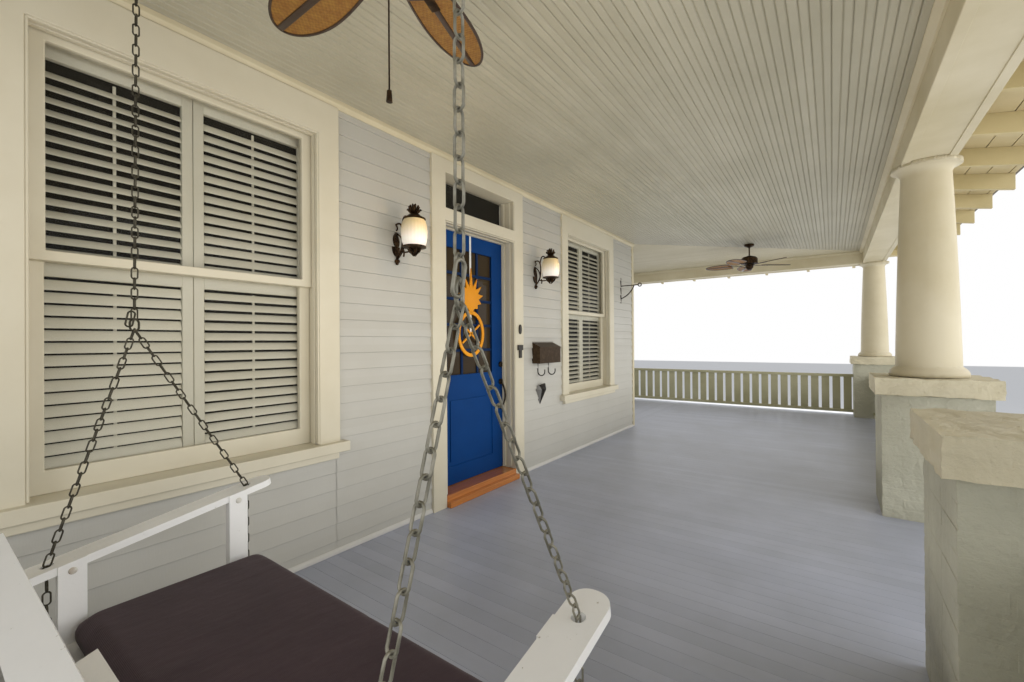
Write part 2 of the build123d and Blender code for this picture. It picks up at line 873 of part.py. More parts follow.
# Inside shutters: two framed panels a window, close behind the sashes
shutter_y = inner_sash_y + sash_thickness + shutter_gap
panel_width = (window_width - shutter_gap) / 2
with BuildPart() as window_shutters:
    for window_x in window_points:
        for side in (-1, 1):
            panel_x = window_x + side * (panel_width + shutter_gap) / 2
            panel_z = window_sill_z + window_height / 2
            panel_height = window_height - 2 * shutter_gap
            with BuildSketch(Plane.XZ.offset(-shutter_y - shutter_thickness)):
                with Locations((panel_x, panel_z)):
                    Rectangle(panel_width, panel_height)
            extrude(amount=shutter_thickness)
            with BuildSketch(Plane.XZ.offset(-shutter_y - shutter_thickness / 3)):
                with Locations((panel_x, panel_z)):
                    Rectangle(panel_width - 2 * shutter_stile, panel_height - 2 * shutter_stile)
            extrude(amount=shutter_thickness / 3, mode=Mode.SUBTRACT)
window_shutters.part.label = "window_shutters"
export_step(window_shutters.part, "parts/window_shutters.step")

# Door frame: jambs, head and transom bar in the wall, stops for the leaf, casing on the face
with BuildPart() as door_frame:
    with BuildSketch(Plane.XZ.offset(-wall_thickness)):
        with Locations((0, (wall_foot_z + door_head_z) / 2)):
            Rectangle(2 * rough_door, door_head_z - wall_foot_z)
        with Locations((0, (wall_foot_z + leaf_head_z + door_gap) / 2)):
            Rectangle(door_opening, leaf_head_z + door_gap - wall_foot_z, mode=Mode.SUBTRACT)
        with Locations((0, transom_foot_z + transom_light / 2)):
            Rectangle(door_opening, transom_light, mode=Mode.SUBTRACT)
    extrude(amount=wall_thickness)
    with BuildSketch(Plane.XZ):
        with Locations((0, (floor_top + strip_foot_z) / 2)):
            Rectangle(door_opening + 2 * casing_width, strip_foot_z - floor_top)
        with Locations((0, (floor_top + leaf_head_z + door_gap) / 2)):
            Rectangle(door_opening, leaf_head_z + door_gap - floor_top, mode=Mode.SUBTRACT)
        with Locations((0, transom_foot_z + transom_light / 2)):
            Rectangle(door_opening, transom_light, mode=Mode.SUBTRACT)
    extrude(amount=casing_thickness)
    with BuildSketch(Plane.XZ.offset(-door_setback + door_gap)):
        for side in (-1, 1):
            stop_x = side * (door_opening - stop_depth) / 2
            with Locations((stop_x, (door_sill_z + leaf_head_z + door_gap) / 2)):
                Rectangle(stop_depth, leaf_head_z + door_gap - door_sill_z)
        with Locations((0, leaf_head_z + door_gap - stop_depth / 2)):
            Rectangle(door_opening, stop_depth)
    extrude(amount=stop_depth)
door_frame.part.label = "door_frame"
export_step(door_frame.part, "parts/door_frame.step")

# Door sill: a varnished timber between the jambs, with a lower step in front of the casing
with BuildPart() as door_sill:
    with BuildSketch(Plane.XY.offset(wall_foot_z)):
        with Locations((0, wall_thickness / 2)):
            Rectangle(door_opening, wall_thickness)
    extrude(amount=door_sill_z - wall_foot_z)
    for nosing_depth, nosing_height in (
        (casing_thickness, door_sill_height),
        (casing_thickness + sill_projection, sill_step_height),
    ):
        with BuildSketch(Plane.XY.offset(floor_top)):
            with Locations((0, -nosing_depth / 2)):
                Rectangle(door_opening, nosing_depth)
        extrude(amount=nosing_height)
door_sill.part.label = "door_sill"
export_step(door_sill.part, "parts/door_sill.step")

# The front door: a framed leaf, fifteen lights over one panel, hung on its near side
leaf_inner_y = door_setback + door_leaf_thickness
leaf_width = door_opening - 2 * door_gap
leaf_glass_height = door_leaf_height - leaf_glass_foot - leaf_top_rail
glass_middle_z = leaf_foot_z + leaf_glass_foot + leaf_glass_height / 2
glass_outer_y = door_setback + (door_leaf_thickness - glass_thickness) / 2
panel_z = leaf_foot_z + leaf_panel_foot + leaf_panel_height / 2
lock_x = leaf_width / 2 - lock_from_edge
latch_z = leaf_foot_z + latch_height
bolt_z = leaf_foot_z + bolt_height
bar_pitch_x = (leaf_glass_width + glazing_bar) / glazing_columns
bar_pitch_z = (leaf_glass_height + glazing_bar) / glazing_rows

with BuildPart() as front_door:
    with BuildSketch(Plane.XZ.offset(-leaf_inner_y)):
        with Locations((0, (leaf_foot_z + leaf_head_z) / 2)):
            Rectangle(leaf_width, door_leaf_height)
        with Locations((0, glass_middle_z)):
            Rectangle(leaf_glass_width, leaf_glass_height, mode=Mode.SUBTRACT)
        with Locations((lock_x, latch_z), (lock_x, bolt_z)):
            Circle(lock_bore_radius + lock_bore_clearance, mode=Mode.SUBTRACT)
    extrude(amount=door_leaf_thickness)
    for bar_y in (glass_outer_y, glass_outer_y + glass_thickness + glazing_bar_depth):
        with BuildSketch(Plane.XZ.offset(-bar_y)):
            with Locations((0, glass_middle_z)):
                with GridLocations(bar_pitch_x, 1, glazing_columns - 1, 1):
                    Rectangle(glazing_bar, leaf_glass_height)
                with GridLocations(1, bar_pitch_z, 1, glazing_rows - 1):
                    Rectangle(leaf_glass_width, glazing_bar)
        extrude(amount=glazing_bar_depth)
    for face_y in (door_setback + leaf_panel_depth, leaf_inner_y):
        with BuildSketch(Plane.XZ.offset(-face_y)):
            with Locations((0, panel_z)):
                Rectangle(leaf_glass_width, leaf_panel_height)
                Rectangle(
                    leaf_glass_width - 2 * leaf_panel_groove,
                    leaf_panel_height - 2 * leaf_panel_groove,
                    mode=Mode.SUBTRACT,
                )
        extrude(amount=leaf_panel_depth, mode=Mode.SUBTRACT)
front_door.part.label = "front_door"
export_step(front_door.part, "parts/front_door.step")

with BuildPart() as door_glass:
    with BuildSketch(Plane.XZ.offset(-glass_outer_y - glass_thickness)):
        with Locations((0, glass_middle_z)):
            Rectangle(leaf_glass_width, leaf_glass_height)
    extrude(amount=glass_thickness)
door_glass.part.label = "door_glass"
export_step(door_glass.part, "parts/door_glass.step")

# Butt hinges: the lower half of each barrel and the pin stay on the jamb, the upper half turns
pin_x = -door_opening / 2 + door_gap / 2
pin_y = leaf_inner_y + hinge_barrel_radius + hinge_clearance
plate_thickness = (door_gap - hinge_clearance) / 2
plate_back = pin_y - hinge_plate_width
hinge_points = (
    leaf_foot_z + hinge_inset,
    (leaf_foot_z + leaf_head_z) / 2,
    leaf_head_z - hinge_inset,
)
with BuildPart() as door_hinges:
    for hinge_z in hinge_points:
        with BuildSketch(Plane.XY.offset(hinge_z - hinge_length / 2)):
            with Locations((-door_opening / 2, plate_back)):
                Rectangle(plate_thickness, hinge_plate_width, align=(Align.MIN, Align.MIN))
        extrude(amount=hinge_length)
        with BuildSketch(Plane.XY.offset(hinge_z - hinge_length / 2)):
            with Locations((pin_x, pin_y)):
                Circle(hinge_barrel_radius)
        extrude(amount=hinge_length / 2)
        with BuildSketch(Plane.XY.offset(hinge_z)):
            with Locations((pin_x, pin_y)):
                Circle(hinge_barrel_radius + hinge_clearance)
        extrude(amount=hinge_length / 2, mode=Mode.SUBTRACT)
        with BuildSketch(Plane.XY.offset(hinge_z - hinge_length / 2)):
            with Locations((pin_x, pin_y)):
                Circle(hinge_pin_radius)
        extrude(amount=hinge_length)
door_hinges.part.label = "door_hinges"
export_step(door_hinges.part, "parts/door_hinges.step")

with BuildPart() as door_hinge_leaves:
    for hinge_z in hinge_points:
        with BuildSketch(Plane.XY.offset(hinge_z - hinge_length / 2)):
            with Locations((-leaf_width / 2, plate_back)):
                Rectangle(plate_thickness, hinge_plate_width, align=(Align.MAX, Align.MIN))
        extrude(amount=hinge_length)
        with BuildSketch(Plane.XY.offset(hinge_z + hinge_clearance)):
            with Locations((pin_x, pin_y)):
                Circle(hinge_barrel_radius)
        extrude(amount=hinge_length / 2 - hinge_clearance)
        with BuildSketch(Plane.XY.offset(hinge_z - hinge_length / 2)):
            with Locations((pin_x, pin_y)):
                Circle(hinge_barrel_radius + hinge_clearance)
        extrude(amount=hinge_length / 2 + hinge_clearance, mode=Mode.SUBTRACT)
        with BuildSketch(Plane.XY.offset(hinge_z)):
            with Locations((pin_x, pin_y)):
                Circle(hinge_pin_radius + hinge_clearance)
        extrude(amount=hinge_length / 2, mode=Mode.SUBTRACT)
door_hinge_leaves.part.label = "door_hinge_leaves"
export_step(door_hinge_leaves.part, "parts/door_hinge_leaves.step")

# Entry handle: latch spindle with a curved grip outside and a knob inside, and a bolt above it
with BuildPart() as door_handle:
    for spindle_z in (latch_z, bolt_z):
        with BuildSketch(Plane.XZ.offset(-leaf_inner_y)):
            with Locations((lock_x, spindle_z)):
                Circle(lock_bore_radius)
        extrude(amount=door_leaf_thickness)
        for face_y in (door_setback, leaf_inner_y + rosette_thickness):
            with BuildSketch(Plane.XZ.offset(-face_y)):
                with Locations((lock_x, spindle_z)):
                    Circle(rosette_radius)
            extrude(amount=rosette_thickness)
    with BuildSketch(Plane.XZ.offset(-leaf_inner_y - knob_reach)):
        with Locations((lock_x, latch_z)):
            Circle(lock_bore_radius)
    extrude(amount=knob_reach)
    with Locations((lock_x, leaf_inner_y + knob_reach, latch_z)):
        Sphere(knob_radius)
    with BuildSketch(Plane.XZ.offset(-door_setback)):
        with Locations((lock_x, latch_z - grip_drop)):
            Circle(rosette_radius / 2)
    extrude(amount=rosette_thickness)
    with BuildLine() as grip_path:
        ThreePointArc(
            (lock_x, door_setback - rosette_thickness / 2, latch_z),
            (lock_x, door_setback - grip_reach, latch_z - grip_drop / 2),
            (lock_x, door_setback - rosette_thickness / 2, latch_z - grip_drop),
        )
    with BuildSketch(Plane(origin=grip_path.line @ 0, z_dir=grip_path.line % 0)):
        Circle(grip_radius)
    sweep(path=grip_path.line)
door_handle.part.label = "door_handle"
export_step(door_handle.part, "parts/door_handle.step")

# Thin metal strap bent over the top of the leaf, which carries the plaque
plaque_middle_z = leaf_foot_z + plaque_bottom + plaque_ring_height / 2
strap_foot_z = plaque_middle_z
strap_outer_y = door_setback - hanger_thickness
with BuildPart() as plaque_hanger:
    with BuildSketch(Plane.YZ.offset(-hanger_width / 2)):
        with BuildLine():
            strap_inner_y = leaf_inner_y + hanger_thickness
            Polyline(
                (door_setback, strap_foot_z),
                (door_setback, leaf_head_z),
                (leaf_inner_y, leaf_head_z),
                (leaf_inner_y, leaf_head_z - hanger_lip),
                (strap_inner_y, leaf_head_z - hanger_lip),
                (strap_inner_y, leaf_head_z + hanger_thickness),
                (strap_outer_y, leaf_head_z + hanger_thickness),
                (strap_outer_y, strap_foot_z),
                close=True,
            )
        make_face()
    extrude(amount=hanger_width)
plaque_hanger.part.label = "plaque_hanger"
export_step(plaque_hanger.part, "parts/plaque_hanger.step")

# Fruit-shaped wooden plaque: an open oval ring with crossed strips, under a crown of leaves
with BuildPart() as door_plaque:
    with BuildSketch(Plane.XZ.offset(-strap_outer_y)) as plaque_outline:
        with Locations((0, plaque_middle_z)):
            Ellipse(plaque_ring_width / 2, plaque_ring_height / 2)
            Ellipse(
                plaque_ring_width / 2 - plaque_ring_band,
                plaque_ring_height / 2 - plaque_ring_band,
                mode=Mode.SUBTRACT,
            )
        with Locations((0, plaque_middle_z)):
            for turn in (-45, 45):
                with Locations(Location((0, 0, 0), (0, 0, turn))):
                    Rectangle(plaque_ring_band, plaque_ring_width - plaque_ring_band)
        crown_foot_z = plaque_middle_z + plaque_ring_height / 2 - plaque_ring_band
        with BuildLine():
            leaf_line = []
            for step in range(2 * crown_leaf_count + 1):
                turn = radians(180 * step / (2 * crown_leaf_count))
                reach = 1 if step % 2 else crown_notch
                leaf_line.append(
                    (
                        reach * plaque_crown_width / 2 * cos(turn),
                        crown_foot_z + reach * plaque_crown_height * sin(turn),
                    )
                )
            Polyline(*leaf_line, close=True)
        make_face()
    extrude(amount=plaque_thickness)
door_plaque.part.label = "door_plaque"
export_step(door_plaque.part, "parts/door_plaque.step")


# Railings: flat boards between a top and a bottom rail
def railing_panel(length):
    """One panel along +X from its own origin, with evenly spaced boards."""
    count = round(length / baluster_pitch)
    pitch = length / count
    rail_z = (rail_clearance, rail_top - rail_thickness)
    with BuildPart() as panel:
        with BuildSketch(Plane.XZ.offset(-rail_width / 2)):
            for foot in rail_z:
                with Locations((length / 2, foot + rail_thickness / 2)):
                    Rectangle(length, rail_thickness)
        extrude(amount=rail_width)
        with BuildSketch(Plane.XZ.offset(-baluster_thickness / 2)):
            with Locations((length / 2, (rail_clearance + rail_top) / 2)):
                with GridLocations(pitch, 1, count, 1):
                    Rectangle(baluster_width, rail_top - rail_clearance - rail_thickness)
        extrude(amount=baluster_thickness)
    return panel


near_bay = step_pier_x - near_line_x - pier_width
full_bay = column_spacing - pier_width
near_end_run = -(front_line_y + half_pier)
back_end_run = far_line_x - half_pier - corner_x

with BuildPart() as railing_front:
    with Locations((near_line_x + half_pier, front_line_y, floor_top)):
        add(railing_panel(near_bay).part)
    with Locations((entry_column_x + half_pier, front_line_y, floor_top)):
        add(railing_panel(full_bay).part)
railing_front.part.label = "railing_front"
export_step(railing_front.part, "parts/railing_front.step")

with BuildPart() as railing_far_side:
    with Locations(Location((far_line_x, front_line_y + half_pier, floor_top), (0, 0, 90))):
        add(railing_panel(full_bay).part)
railing_far_side.part.label = "railing_far_side"
export_step(railing_far_side.part, "parts/railing_far_side.step")

with BuildPart() as railing_ends:
    with Locations(Location((near_line_x, front_line_y + half_pier, floor_top), (0, 0, 90))):
        add(railing_panel(near_end_run).part)
    with Locations((corner_x, back_line_y, floor_top)):
        add(railing_panel(back_end_run).part)
railing_ends.part.label = "railing_ends"
export_step(railing_ends.part, "parts/railing_ends.step")

# Wall lanterns: a back plate, two arms, a base dish and a cap with a leafy finial
lantern_points = [(side * lantern_from_door, floor_top + lantern_height) for side in (-1, 1)]
shade_foot = -lantern_shade_height / 2
shade_head = lantern_shade_height / 2
with BuildPart() as lantern_turned:
    with BuildSketch(Plane.XZ):
        with BuildLine():
            Polyline(
                (0, shade_foot - lantern_tip_drop),
                (lantern_tip_radius, shade_foot - lantern_tip_drop + lantern_dish_rim),
                (lantern_knob_radius, shade_foot - lantern_dish_depth),
                (lantern_radius + lantern_dish_lip, shade_foot - lantern_dish_rim),
                (lantern_radius + lantern_dish_lip, shade_foot),
                (0, shade_foot),
                close=True,
            )
        make_face()
        with BuildLine():
            Polyline(
                (0, shade_head),
                (lantern_radius - lantern_cap_inset, shade_head),
                (lantern_radius - lantern_cap_inset, shade_head + lantern_dish_lip),
                (lantern_cap_neck, shade_head + lantern_cap_height),
                (lantern_finial_waist, shade_head + lantern_finial_foot),
                (lantern_finial_radius, shade_head + lantern_finial_height - lantern_dish_rim),
                (0, shade_head + lantern_finial_height),
                close=True,
            )
        make_face()
    revolve(axis=Axis.Z)

with BuildPart() as lantern_shade:
    with BuildSketch(Plane.XZ):
        with BuildLine():
            Line((0, shade_foot), (lantern_radius - shade_foot_inset, shade_foot))
            ThreePointArc(
                (lantern_radius - shade_foot_inset, shade_foot),
                (lantern_radius, shade_foot / 3),
                (lantern_radius - shade_head_inset, shade_head),
            )
            Polyline((lantern_radius - shade_head_inset, shade_head), (0, shade_head), (0, shade_foot))
        make_face()
    revolve(axis=Axis.Z)

with BuildPart() as wall_lanterns:
    for lantern_x, lantern_z in lantern_points:
        with BuildSketch(Plane.XZ):
            with Locations((lantern_x, lantern_z - backplate_drop)):
                Ellipse(backplate_width / 2, backplate_height / 2)
        extrude(amount=backplate_thickness)
        with BuildSketch(Plane.XZ):
            with Locations(
                (lantern_x, lantern_z + shade_foot - lantern_arm_drop),
                (lantern_x, lantern_z + shade_head + lantern_arm_rise),
            ):
                Circle(lantern_arm_radius)
        extrude(amount=lantern_reach)
        with Locations((lantern_x, -lantern_reach, lantern_z)):
            add(lantern_turned.part)
wall_lanterns.part.label = "wall_lanterns"
export_step(wall_lanterns.part, "parts/wall_lanterns.step")

with BuildPart() as lantern_glass:
    for lantern_x, lantern_z in lantern_points:
        with Locations((lantern_x, -lantern_reach, lantern_z)):
            add(lantern_shade.part)
lantern_glass.part.label = "lantern_glass"
export_step(lantern_glass.part, "parts/lantern_glass.step")

# Mailbox: a folded metal box on the wall, open at the top
mailbox_z = floor_top + mailbox_bottom
mailbox_rim_z = mailbox_z + mailbox_back_height
lid_slope = (mailbox_back_height - mailbox_front_height) / mailbox_depth
with BuildPart() as mailbox:
    with BuildSketch(Plane.YZ.offset(mailbox_x - mailbox_width / 2)):
        with BuildLine():
            Polyline(
                (0, mailbox_z),
                (0, mailbox_rim_z),
                (-mailbox_depth, mailbox_z + mailbox_front_height),
                (-mailbox_depth, mailbox_z),
                close=True,
            )
        make_face()
    extrude(amount=mailbox_width)
    with BuildSketch(Plane.XY.offset(mailbox_z + mailbox_wall)):
        with Locations((mailbox_x, -mailbox_depth / 2)):
            Rectangle(mailbox_width - 2 * mailbox_wall, mailbox_depth - 2 * mailbox_wall)
    extrude(amount=mailbox_back_height, mode=Mode.SUBTRACT)
mailbox.part.label = "mailbox"
export_step(mailbox.part, "parts/mailbox.step")

# Two bent wire hooks below the box, which reach out from the wall and hold a rolled newspaper
with BuildPart() as paper_hooks:
    hook_y = -hook_wire
    bend_z = mailbox_z - hook_shank
    for hook_x in (mailbox_x - mailbox_width / 4, mailbox_x + mailbox_width / 4):
        with BuildLine() as hook_path:
            Line((hook_x, hook_y, mailbox_z), (hook_x, hook_y, bend_z))
            ThreePointArc(
                (hook_x, hook_y, bend_z),
                (hook_x, hook_y - hook_bend, bend_z - hook_bend),
                (hook_x, hook_y - 2 * hook_bend, bend_z),
            )
            Line((hook_x, hook_y - 2 * hook_bend, bend_z), (hook_x, hook_y - 2 * hook_bend, bend_z + hook_bend / 2))
        with BuildSketch(Plane(origin=(hook_x, hook_y, mailbox_z), z_dir=(0, 0, -1))):
            Circle(hook_wire / 2)
        sweep(path=hook_path.line)
paper_hooks.part.label = "paper_hooks"
export_step(paper_hooks.part, "parts/paper_hooks.step")

# Mailbox lid: a sloping flap with a turned-down lip, rolled round its hinge at the back
lid_foot_z = mailbox_rim_z + lid_gap
lid_hinge_z = lid_foot_z + lid_hinge_radius
lid_front_y = -mailbox_depth - lid_overhang
with BuildPart() as mailbox_lid:
    with BuildSketch(Plane.YZ.offset(mailbox_x - mailbox_width / 2)):
        with BuildLine():
            Polyline(
                (-lid_hinge_radius, lid_foot_z - lid_hinge_radius * lid_slope),
                (-lid_hinge_radius, lid_foot_z - lid_hinge_radius * lid_slope + lid_thickness),
                (lid_front_y, lid_foot_z + lid_front_y * lid_slope + lid_thickness),
                (lid_front_y, lid_foot_z + lid_front_y * lid_slope - lid_lip),
                (lid_front_y + lid_thickness, lid_foot_z + lid_front_y * lid_slope - lid_lip),
                (lid_front_y + lid_thickness, lid_foot_z + (lid_front_y + lid_thickness) * lid_slope),
                close=True,
            )
        make_face()
        with Locations((-lid_hinge_radius, lid_hinge_z)):
            Circle(lid_hinge_radius)
    extrude(amount=mailbox_width)
mailbox_lid.part.label = "mailbox_lid"
export_step(mailbox_lid.part, "parts/mailbox_lid.step")

# Wall pocket: half of a pointed metal cone, open at the top and flat against the siding
pocket_z = floor_top + pocket_top
with BuildPart() as wall_pocket:
    with BuildSketch(Plane.XZ):
        with BuildLine():
            Polyline(
                (pocket_x, pocket_z - pocket_length),
                (pocket_x + pocket_radius, pocket_z - pocket_shoulder),
                (pocket_x + pocket_mouth, pocket_z),
                (pocket_x + pocket_mouth - pocket_wall, pocket_z),
                (pocket_x + pocket_radius - pocket_wall, pocket_z - pocket_shoulder),
                (pocket_x, pocket_z - pocket_length + pocket_point),
                close=True,
            )
        make_face()
    revolve(axis=Axis((pocket_x, 0, 0), (0, 0, -1)), revolution_arc=180)
wall_pocket.part.label = "wall_pocket"
export_step(wall_pocket.part, "parts/wall_pocket.step")

# Doorbell: an oval plate on the casing, with a switch box and a narrow cover below it
bell_x = (door_opening + casing_width) / 2
bell_z = floor_top + bell_height
with BuildPart() as doorbell:
    with BuildSketch(Plane.XZ.offset(casing_thickness)):
        with Locations((bell_x, bell_z)):
            Ellipse(bell_plate_width / 2, bell_plate_height / 2)
        with Locations((bell_x, bell_z - bell_box_drop)):
            Rectangle(bell_box_width, bell_box_height)
            with Locations((0, -(bell_box_height + bell_cover_height) / 2)):
                Rectangle(bell_cover_width, bell_cover_height)
    extrude(amount=bell_depth)
doorbell.part.label = "doorbell"
export_step(doorbell.part, "parts/doorbell.step")

# Iron bracket near the corner of the house: a wall bar, an arm, a curved brace and an end ring
bracket_z = floor_top + bracket_height
with BuildPart() as plant_bracket:
    with BuildSketch(Plane.XZ):
        with Locations((bracket_x, bracket_z + bracket_bar_rise - bracket_bar_height / 2)):
            Rectangle(bracket_bar_width, bracket_bar_height)
    extrude(amount=bracket_iron)
    with BuildSketch(Plane.YZ.offset(bracket_x - bracket_iron / 2)):
        with Locations((-bracket_reach / 2, bracket_z)):
            Rectangle(bracket_reach, bracket_iron)
        with Locations((-bracket_reach - bracket_ring_radius + bracket_iron, bracket_z)):
            Circle(bracket_ring_radius)
            Circle(bracket_ring_radius - bracket_iron, mode=Mode.SUBTRACT)
        with BuildLine():
            RadiusArc((0, bracket_z - brace_drop), (-brace_reach, bracket_z), brace_radius)
            Line((-brace_reach, bracket_z), (-brace_reach + bracket_iron, bracket_z))
            RadiusArc(
                (-brace_reach + bracket_iron, bracket_z),
                (0, bracket_z - brace_drop + bracket_iron),
                -brace_radius,
            )
            Line((0, bracket_z - brace_drop + bracket_iron), (0, bracket_z - brace_drop))
        make_face()
    extrude(amount=bracket_iron)
plant_bracket.part.label = "plant_bracket"
export_step(plant_bracket.part, "parts/plant_bracket.step")

# Ceiling fans: canopy, down rod, motor and switch cup, all on one shaft that the blades turn round
blade_z = ceiling_z - fan_drop
fan_points = ((near_fan_x, fan_line_y), (far_fan_x, fan_line_y))
motor_foot_z = blade_z + fan_hub_height / 2 + fan_running_gap
cup_top_z = blade_z - fan_hub_height / 2 - fan_running_gap
with BuildPart() as fan_profile:
    with BuildSketch(Plane.XZ):
        with BuildLine():
            motor_top_z = motor_foot_z + fan_motor_height
            Polyline(
                (0, ceiling_z),
                (fan_canopy_radius, ceiling_z),
                (fan_canopy_radius, ceiling_z - fan_canopy_height / 2),
                (fan_shaft_radius, ceiling_z - fan_canopy_height),
                (fan_shaft_radius, motor_top_z + fan_motor_height / 4),
                (fan_motor_neck, motor_top_z + fan_motor_height / 8),
                (fan_motor_shoulder, motor_top_z),
                (fan_motor_radius, motor_top_z - fan_motor_height / 4),
                (fan_motor_radius, motor_foot_z),
                (fan_shaft_radius, motor_foot_z),
                (fan_shaft_radius, cup_top_z),
                (fan_cup_radius, cup_top_z),
                (fan_cup_waist, cup_top_z - fan_cup_height / 2),
                (fan_cup_foot, cup_top_z - fan_cup_height),
                (0, cup_top_z - fan_cup_height),
                close=True,
            )
        make_face()
    revolve(axis=Axis.Z)

with BuildPart() as fan_motors:
    with Locations(*fan_points):
        add(fan_profile.part)
fan_motors.part.label = "fan_motors"
export_step(fan_motors.part, "parts/fan_motors.step")

# Pull chain of the near fan, with a small fob at its end
chain_top_z = cup_top_z - fan_cup_height
with BuildPart() as fan_pull_chain:
    with BuildSketch(Plane.XY.offset(chain_top_z)):
        with Locations((near_fan_x, fan_line_y)):
            Circle(pull_chain_radius)
    extrude(amount=-pull_chain_length)
    with BuildSketch(Plane.XY.offset(chain_top_z - pull_chain_length)):
        with Locations((near_fan_x, fan_line_y)):
            Circle(pull_fob_radius)
    extrude(amount=-pull_fob_length, taper=-4)
fan_pull_chain.part.label = "fan_pull_chain"
export_step(fan_pull_chain.part, "parts/fan_pull_chain.step")

# Fan blades: a hub ring with irons, and leaf-shaped woven blades set at a pitch
blade_plane = Plane(
    origin=(0, 0, 0),
    x_dir=(1, 0, 0),
    z_dir=(0, -sin(radians(fan_blade_pitch)), cos(radians(fan_blade_pitch))),
)
with BuildPart() as fan_blade:
    with BuildSketch(blade_plane.offset(-fan_blade_thickness / 2)):
        with BuildLine():
            Spline(
                (fan_blade_start, -fan_blade_root / 2),
                (fan_blade_widest, -fan_blade_width / 2),
                (fan_radius, 0),
                (fan_blade_widest, fan_blade_width / 2),
                (fan_blade_start, fan_blade_root / 2),
                tangents=((1, -fan_blade_flare), (-1, -fan_blade_flare)),
            )
            Line((fan_blade_start, fan_blade_root / 2), (fan_blade_start, -fan_blade_root / 2))
        make_face()
    extrude(amount=fan_blade_thickness)
    with BuildSketch(Plane.XY.offset(-fan_iron_thickness / 2)):
        with Locations(((fan_hub_radius + fan_blade_start + fan_iron_lap) / 2, 0)):
            Rectangle(fan_blade_start + fan_iron_lap - fan_hub_radius + fan_hub_height / 2, fan_iron_width)
    extrude(amount=fan_iron_thickness)

with BuildPart() as fan_rotor:
    with BuildSketch(Plane.XY.offset(-fan_hub_height / 2)):
        Circle(fan_hub_radius)
    extrude(amount=fan_hub_height)
    with PolarLocations(0, fan_blade_count, start_angle=fan_first_angle):
        add(fan_blade.part)
    with BuildSketch(Plane.XY.offset(-fan_hub_height / 2)):
        Circle(fan_shaft_radius + fan_shaft_clearance)
    extrude(amount=fan_hub_height, mode=Mode.SUBTRACT)

for fan_name, (fan_x, fan_y) in zip(("near_fan_blades", "far_fan_blades"), fan_points):
    with BuildPart() as fan_blades:
        with Locations((fan_x, fan_y, blade_z)):
            add(fan_rotor.part)
    fan_blades.part.label = fan_name
    export_step(fan_blades.part, f"parts/{fan_name}.step")

# Swing hooks: bent iron rods screwed into the ceiling, each with a level pin that carries an eye
pin_z = ceiling_z - hook_drop
swing_points = ((swing_x, swing_street_y), (swing_x, swing_house_y))
with BuildPart() as swing_hooks:
    for hook_x, hook_y in swing_points:
        with BuildSketch(Plane.XY.offset(ceiling_z)):
            with Locations((hook_x, hook_y + hook_offset)):
                Circle(hook_flange_radius)
        extrude(amount=-hook_flange)
        with BuildSketch(Plane.XY.offset(ceiling_z)):
            with Locations((hook_x, hook_y + hook_offset)):
                Circle(hook_pin_radius)
        extrude(amount=-hook_drop - hook_pin_radius)
        with BuildSketch(Plane.XZ.offset(-hook_y - hook_offset)):
            with Locations((hook_x, pin_z)):
                Circle(hook_pin_radius)
        extrude(amount=2 * hook_offset)
        with BuildSketch(Plane.XZ.offset(-hook_y + hook_offset)):
            with Locations((hook_x, pin_z)):
                Circle(hook_head_radius)
        extrude(amount=hook_flange)
swing_hooks.part.label = "swing_hooks"
export_step(swing_hooks.part, "parts/swing_hooks.step")

# Swing bench: seat boards on two long rails, posts, sloping arms and a leaning back of boards
seat_z = floor_top + swing_seat_height
board_foot_z = seat_z - swing_board
rail_foot_z = board_foot_z - swing_rail_depth
seat_rear_x = swing_seat_front - swing_seat_depth
bench_length = swing_house_y - swing_street_y
bench_middle_y = (swing_house_y + swing_street_y) / 2
arm_slope = (swing_arm_height - swing_arm_rear_height) / (swing_front_hole_x - swing_rear_hole_x)
arm_angle = atan(arm_slope)
front_hole_z = floor_top + swing_arm_height
rear_hole_z = floor_top + swing_arm_rear_height
post_y_inset = chain_hole_radius + swing_post_thickness / 2
back_lean = radians(swing_back_lean)
back_plane = Plane(
    origin=(seat_rear_x + swing_back_inset, bench_middle_y, seat_z),
    x_dir=(0, 1, 0),
    z_dir=(cos(back_lean), 0, sin(back_lean)),
)
back_length = bench_length - 2 * chain_hole_radius
slat_length = back_length - 2 * swing_stile_width
slat_count = round(slat_length / swing_slat_pitch)
slat_gap = (slat_length - swing_slat_width) / (slat_count - 1)

